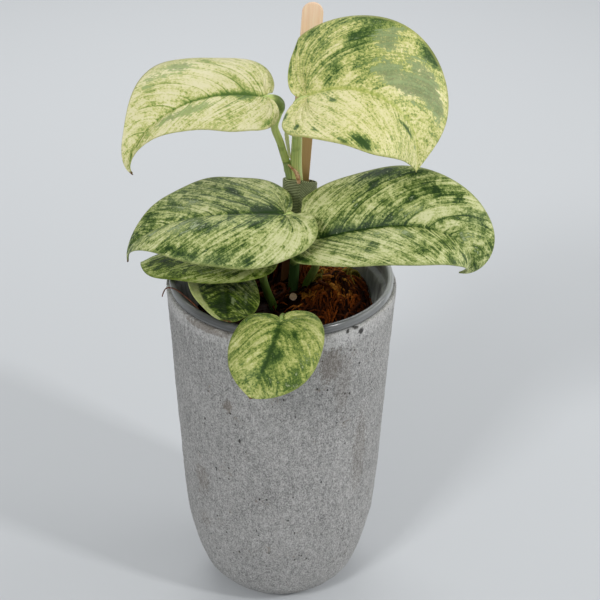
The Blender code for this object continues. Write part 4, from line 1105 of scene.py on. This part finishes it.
def make_tie(finish):
    """A squared oval sleeve drawn up in fine ridges, its top turned in round the stems."""
    shape = bmesh.new()
    ridge = shape.verts.layers.float.new("ridge")
    rows = round(TIE_HEIGHT / TIE_RIDGE * ROWS_A_RIDGE)
    bmesh.ops.create_grid(shape, x_segments=TIE_COLUMNS, y_segments=rows, size=1.0)
    lean = Matrix.Rotation(math.radians(TIE_LEAN), 3, 'Y')
    wide, deep = 0.5 * TIE_WIDTH, 0.5 * TIE_DEPTH
    for vert in shape.verts:
        angle = math.pi * vert.co.x
        x, y = math.sin(angle), -math.cos(angle)
        reach = (abs(x) ** TIE_SQUARENESS + abs(y) ** TIE_SQUARENESS) ** (-1.0 / TIE_SQUARENESS)
        share = 0.5 * (vert.co.y + 1.0)
        top = TIE_TOP_FRONT - TIE_TOP_DROP * (0.5 + 0.5 * y) - 0.9 * x
        height = -0.5 * TIE_HEIGHT + (0.5 * TIE_HEIGHT + top) * share
        slant = 0.25 * math.sin(5.0 * angle) if x < 0.0 else -0.75 * x * wide
        crest = 0.5 + 0.5 * math.cos(2 * math.pi * (height + slant) / TIE_RIDGE)
        vert[ridge] = crest
        tuck = TIE_TUCK * max(0.0, (share - 0.96) / 0.04) ** 2
        seam = 0.35 * math.exp(-((angle + 0.1) / 0.05) ** 2)
        dent = 0.15 * math.sin(2.0 * angle + 0.2 * height) - TIE_GROOVE * (1.0 - crest) - seam - tuck
        spot = Vector(((wide + dent) * reach * x, (deep + dent) * reach * y, height))
        vert.co = (TIE_CENTRE + lean @ spot) * MM
    seal(shape)
    made = piece("garden_tie_ribbed", shape, [finish], ("garden_tie",))
    thicken(made, TIE_THICK, -1.0)


def make_stem(finish, cut):
    """The vine with its swollen joints, and a side shoot that ends in a pale cut."""
    shape = bmesh.new()
    uv = shape.loops.layers.uv.new("stalk")
    route = smooth_route(STEM_ROUTE, 1.2)
    radii = spread(STEM_RADII, len(route))
    for height in STEM_JOINTS:
        radii = radii * (1.0 + 0.13 * np.exp(-((route[:, 2] - height) / 1.1) ** 2))
    roll_tube(shape, route, radii, STEM_SIDES, uv, flute=0.03, flutes=5)
    side = smooth_route(SHOOT_ROUTE, 0.9)
    girth = SHOOT_RADIUS * (1.0 + 0.08 * np.linspace(0.0, 1.0, len(side)) ** 3)
    before = set(shape.faces)
    roll_tube(shape, side, girth, STEM_SIDES, uv)
    bmesh.ops.recalc_face_normals(shape, faces=shape.faces)
    added = [face for face in shape.faces if face not in before and len(face.verts) > 8]
    for face in added:
        if face.calc_center_median().y < side[-1][1] * MM + 0.001:
            face.material_index = 1
            made = bmesh.ops.inset_region(shape, faces=[face], thickness=0.3 * MM, depth=0.12 * MM)
            for ring in made["faces"]:
                ring.material_index = 1
            break
    piece("vine_stem_green", shape, [finish, cut], ("vine_stem",))


def make_strip(name, route_points, widths, finish, node, curl, thick):
    """A thin dried strip, hollowed along its length and a little wavy."""
    route = smooth_route(route_points, 0.7)
    spans = spread(widths, len(route))
    ahead = np.gradient(route, axis=0)
    strip = bmesh.new()
    uv = strip.loops.layers.uv.new("strip")
    bmesh.ops.create_grid(strip, x_segments=len(route) - 1, y_segments=10, size=1.0)
    lay_uv(strip.faces, uv, lambda x, y: (0.5 * x, 0.5 * y))
    front = Vector((0.0, -1.0, 0.0))
    for vert in strip.verts:
        number = round(0.5 * (vert.co.x + 1.0) * (len(route) - 1))
        out = vert.co.y
        across = Vector(ahead[number]).cross(front).normalized()
        wave = 0.12 * math.sin(0.9 * number) + 0.1 * math.sin(0.37 * number + 2.0 * out)
        half = 0.5 * spans[number] * (1.0 + 0.12 * math.sin(1.7 * number * out))
        vert.co = (Vector(route[number]) + across * (half * out) - front * (curl * out * out + wave)) * MM
    bmesh.ops.recalc_face_normals(strip, faces=strip.faces)
    made = piece(name, strip, [finish], (node,))
    thicken(made, thick, 0.0)


def make_root(finish):
    """A loose root that bends over the rim."""
    route = smooth_route(ROOT_ROUTE, 0.8)
    shape = bmesh.new()
    uv = shape.loops.layers.uv.new("strip")
    wobble = [field.noise(Vector((0.35 * k, 0.0, 1.0))) for k in range(len(route))]
    radii = ROOT_RADIUS * (1.0 + 0.35 * np.array(wobble)) * spread(ROOT_THICKNESS, len(route))
    roll_tube(shape, route, radii, ROOT_SIDES, uv)
    bmesh.ops.recalc_face_normals(shape, faces=shape.faces)
    piece("loose_root_dry", shape, [finish], ("loose_root",))


def make_plant():
    """Everything that grew: leaves, stem, sheaths and root."""
    looks = {}
    for leaf in LEAVES:
        if leaf.look not in looks:
            top = leaf_finish("blade_top_" + leaf.look, leaf.look)
            below = leaf_finish("blade_below_" + leaf.look, leaf.look, True)
            looks[leaf.look] = [top, below]
    petiole = stalk_finish("petiole_green", (0.74, 0.82, 0.33), (0.46, 0.58, 0.16),
                           (0.085, 0.20, 0.015), fresh_from=186.0, fresh_to=236.0)
    stem = stalk_finish("vine_green", (0.46, 0.54, 0.22), (0.26, 0.36, 0.12),
                        (0.035, 0.10, 0.022), fresh_from=228.0, fresh_to=258.0)
    for leaf in LEAVES:
        blade = lay_blade(leaf, looks[leaf.look])
        lay_petiole(leaf, blade, petiole)
    make_stem(stem, cut_finish())
    pale = dry_finish("pale_sheath_skin", (0.72, 0.74, 0.36), (0.92, 0.92, 0.62))
    husk = dry_finish("dry_husk_skin", (0.34, 0.13, 0.04), (0.90, 0.62, 0.36))
    make_strip("leaf_sheath_pale", SHEATH_ROUTE, SHEATH_WIDTHS, pale, "leaf_sheath",
               curl=0.5, thick=0.35)
    make_strip("dry_husk_curled", HUSK_ROUTE, HUSK_WIDTHS, husk, "dry_husk",
               curl=0.6, thick=0.3)
    make_root(dry_finish("root_skin", (0.05, 0.016, 0.008), (0.20, 0.065, 0.028)))


def make_holders():
    """The pots, the moss in them, the stake and the tie."""
    make_concrete_pot(concrete_finish())
    make_nursery_pot(smoky_finish())
    # The moss bed is painted near black as painted shade.
    bed = moss_finish("moss_bed_painted_shade", MOSS_BED_SHADE_TONES)
    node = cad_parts["moss_fill"]
    for slot_item in node.material_slots:
        slot_item.material = bed
    make_moss_strands(moss_finish("moss_strand", MOSS_TONES, "tone"))
    make_stake(wood_finish())
    make_tie(tie_finish())


def soft_light(name, place, aim, size, power):
    """A rectangular lamp that looks at a place."""
    lamp = bpy.data.lights.new(name, 'AREA')
    lamp.shape = 'RECTANGLE'
    lamp.size, lamp.size_y = size
    lamp.energy = power
    made = put_in_scene(name, lamp)
    made.location = place
    made.rotation_euler = (Vector(aim) - Vector(place)).to_track_quat('-Z', 'Y').to_euler()


def make_studio():
    """A plain pale floor under soft light."""
    floor_mesh = bpy.data.meshes.new("studio_floor")
    shape = bmesh.new()
    bmesh.ops.create_grid(shape, x_segments=1, y_segments=1, size=FLOOR_HALF)
    shape.to_mesh(floor_mesh)
    shape.free()
    ground = put_in_scene("studio_floor", floor_mesh)
    paper = Finish("floor_paper")
    paper.set(Base_Color=(0.62, 0.64, 0.66), Roughness=0.9, Specular_IOR_Level=0.2)
    floor_mesh.materials.append(paper.material)
    world = bpy.data.worlds.new("studio_air")
    bpy.context.scene.world = world
    world.use_nodes = True
    air = world.node_tree.nodes["Background"]
    air.inputs["Color"].default_value = AIR_COLOUR
    air.inputs["Strength"].default_value = AIR_POWER
    for lamp in LAMPS:
        soft_light(*lamp)
    bpy.context.scene.view_settings.view_transform = 'Standard'


def place_camera():
    """The view of the photo."""
    lens = bpy.data.cameras.new("view")
    lens.sensor_width = 36.0
    lens.lens = CAMERA_LENS
    eye = put_in_scene("view", lens)
    turn = Matrix.Rotation(math.radians(90.0 - CAMERA_DOWN), 4, 'X')
    roll = Matrix.Rotation(math.radians(CAMERA_ROLL), 4, 'Z')
    eye.matrix_world = Matrix.Translation(CAMERA_PLACE) @ turn @ roll
    bpy.context.scene.camera = eye


place_camera()
make_studio()
make_holders()
make_plant()
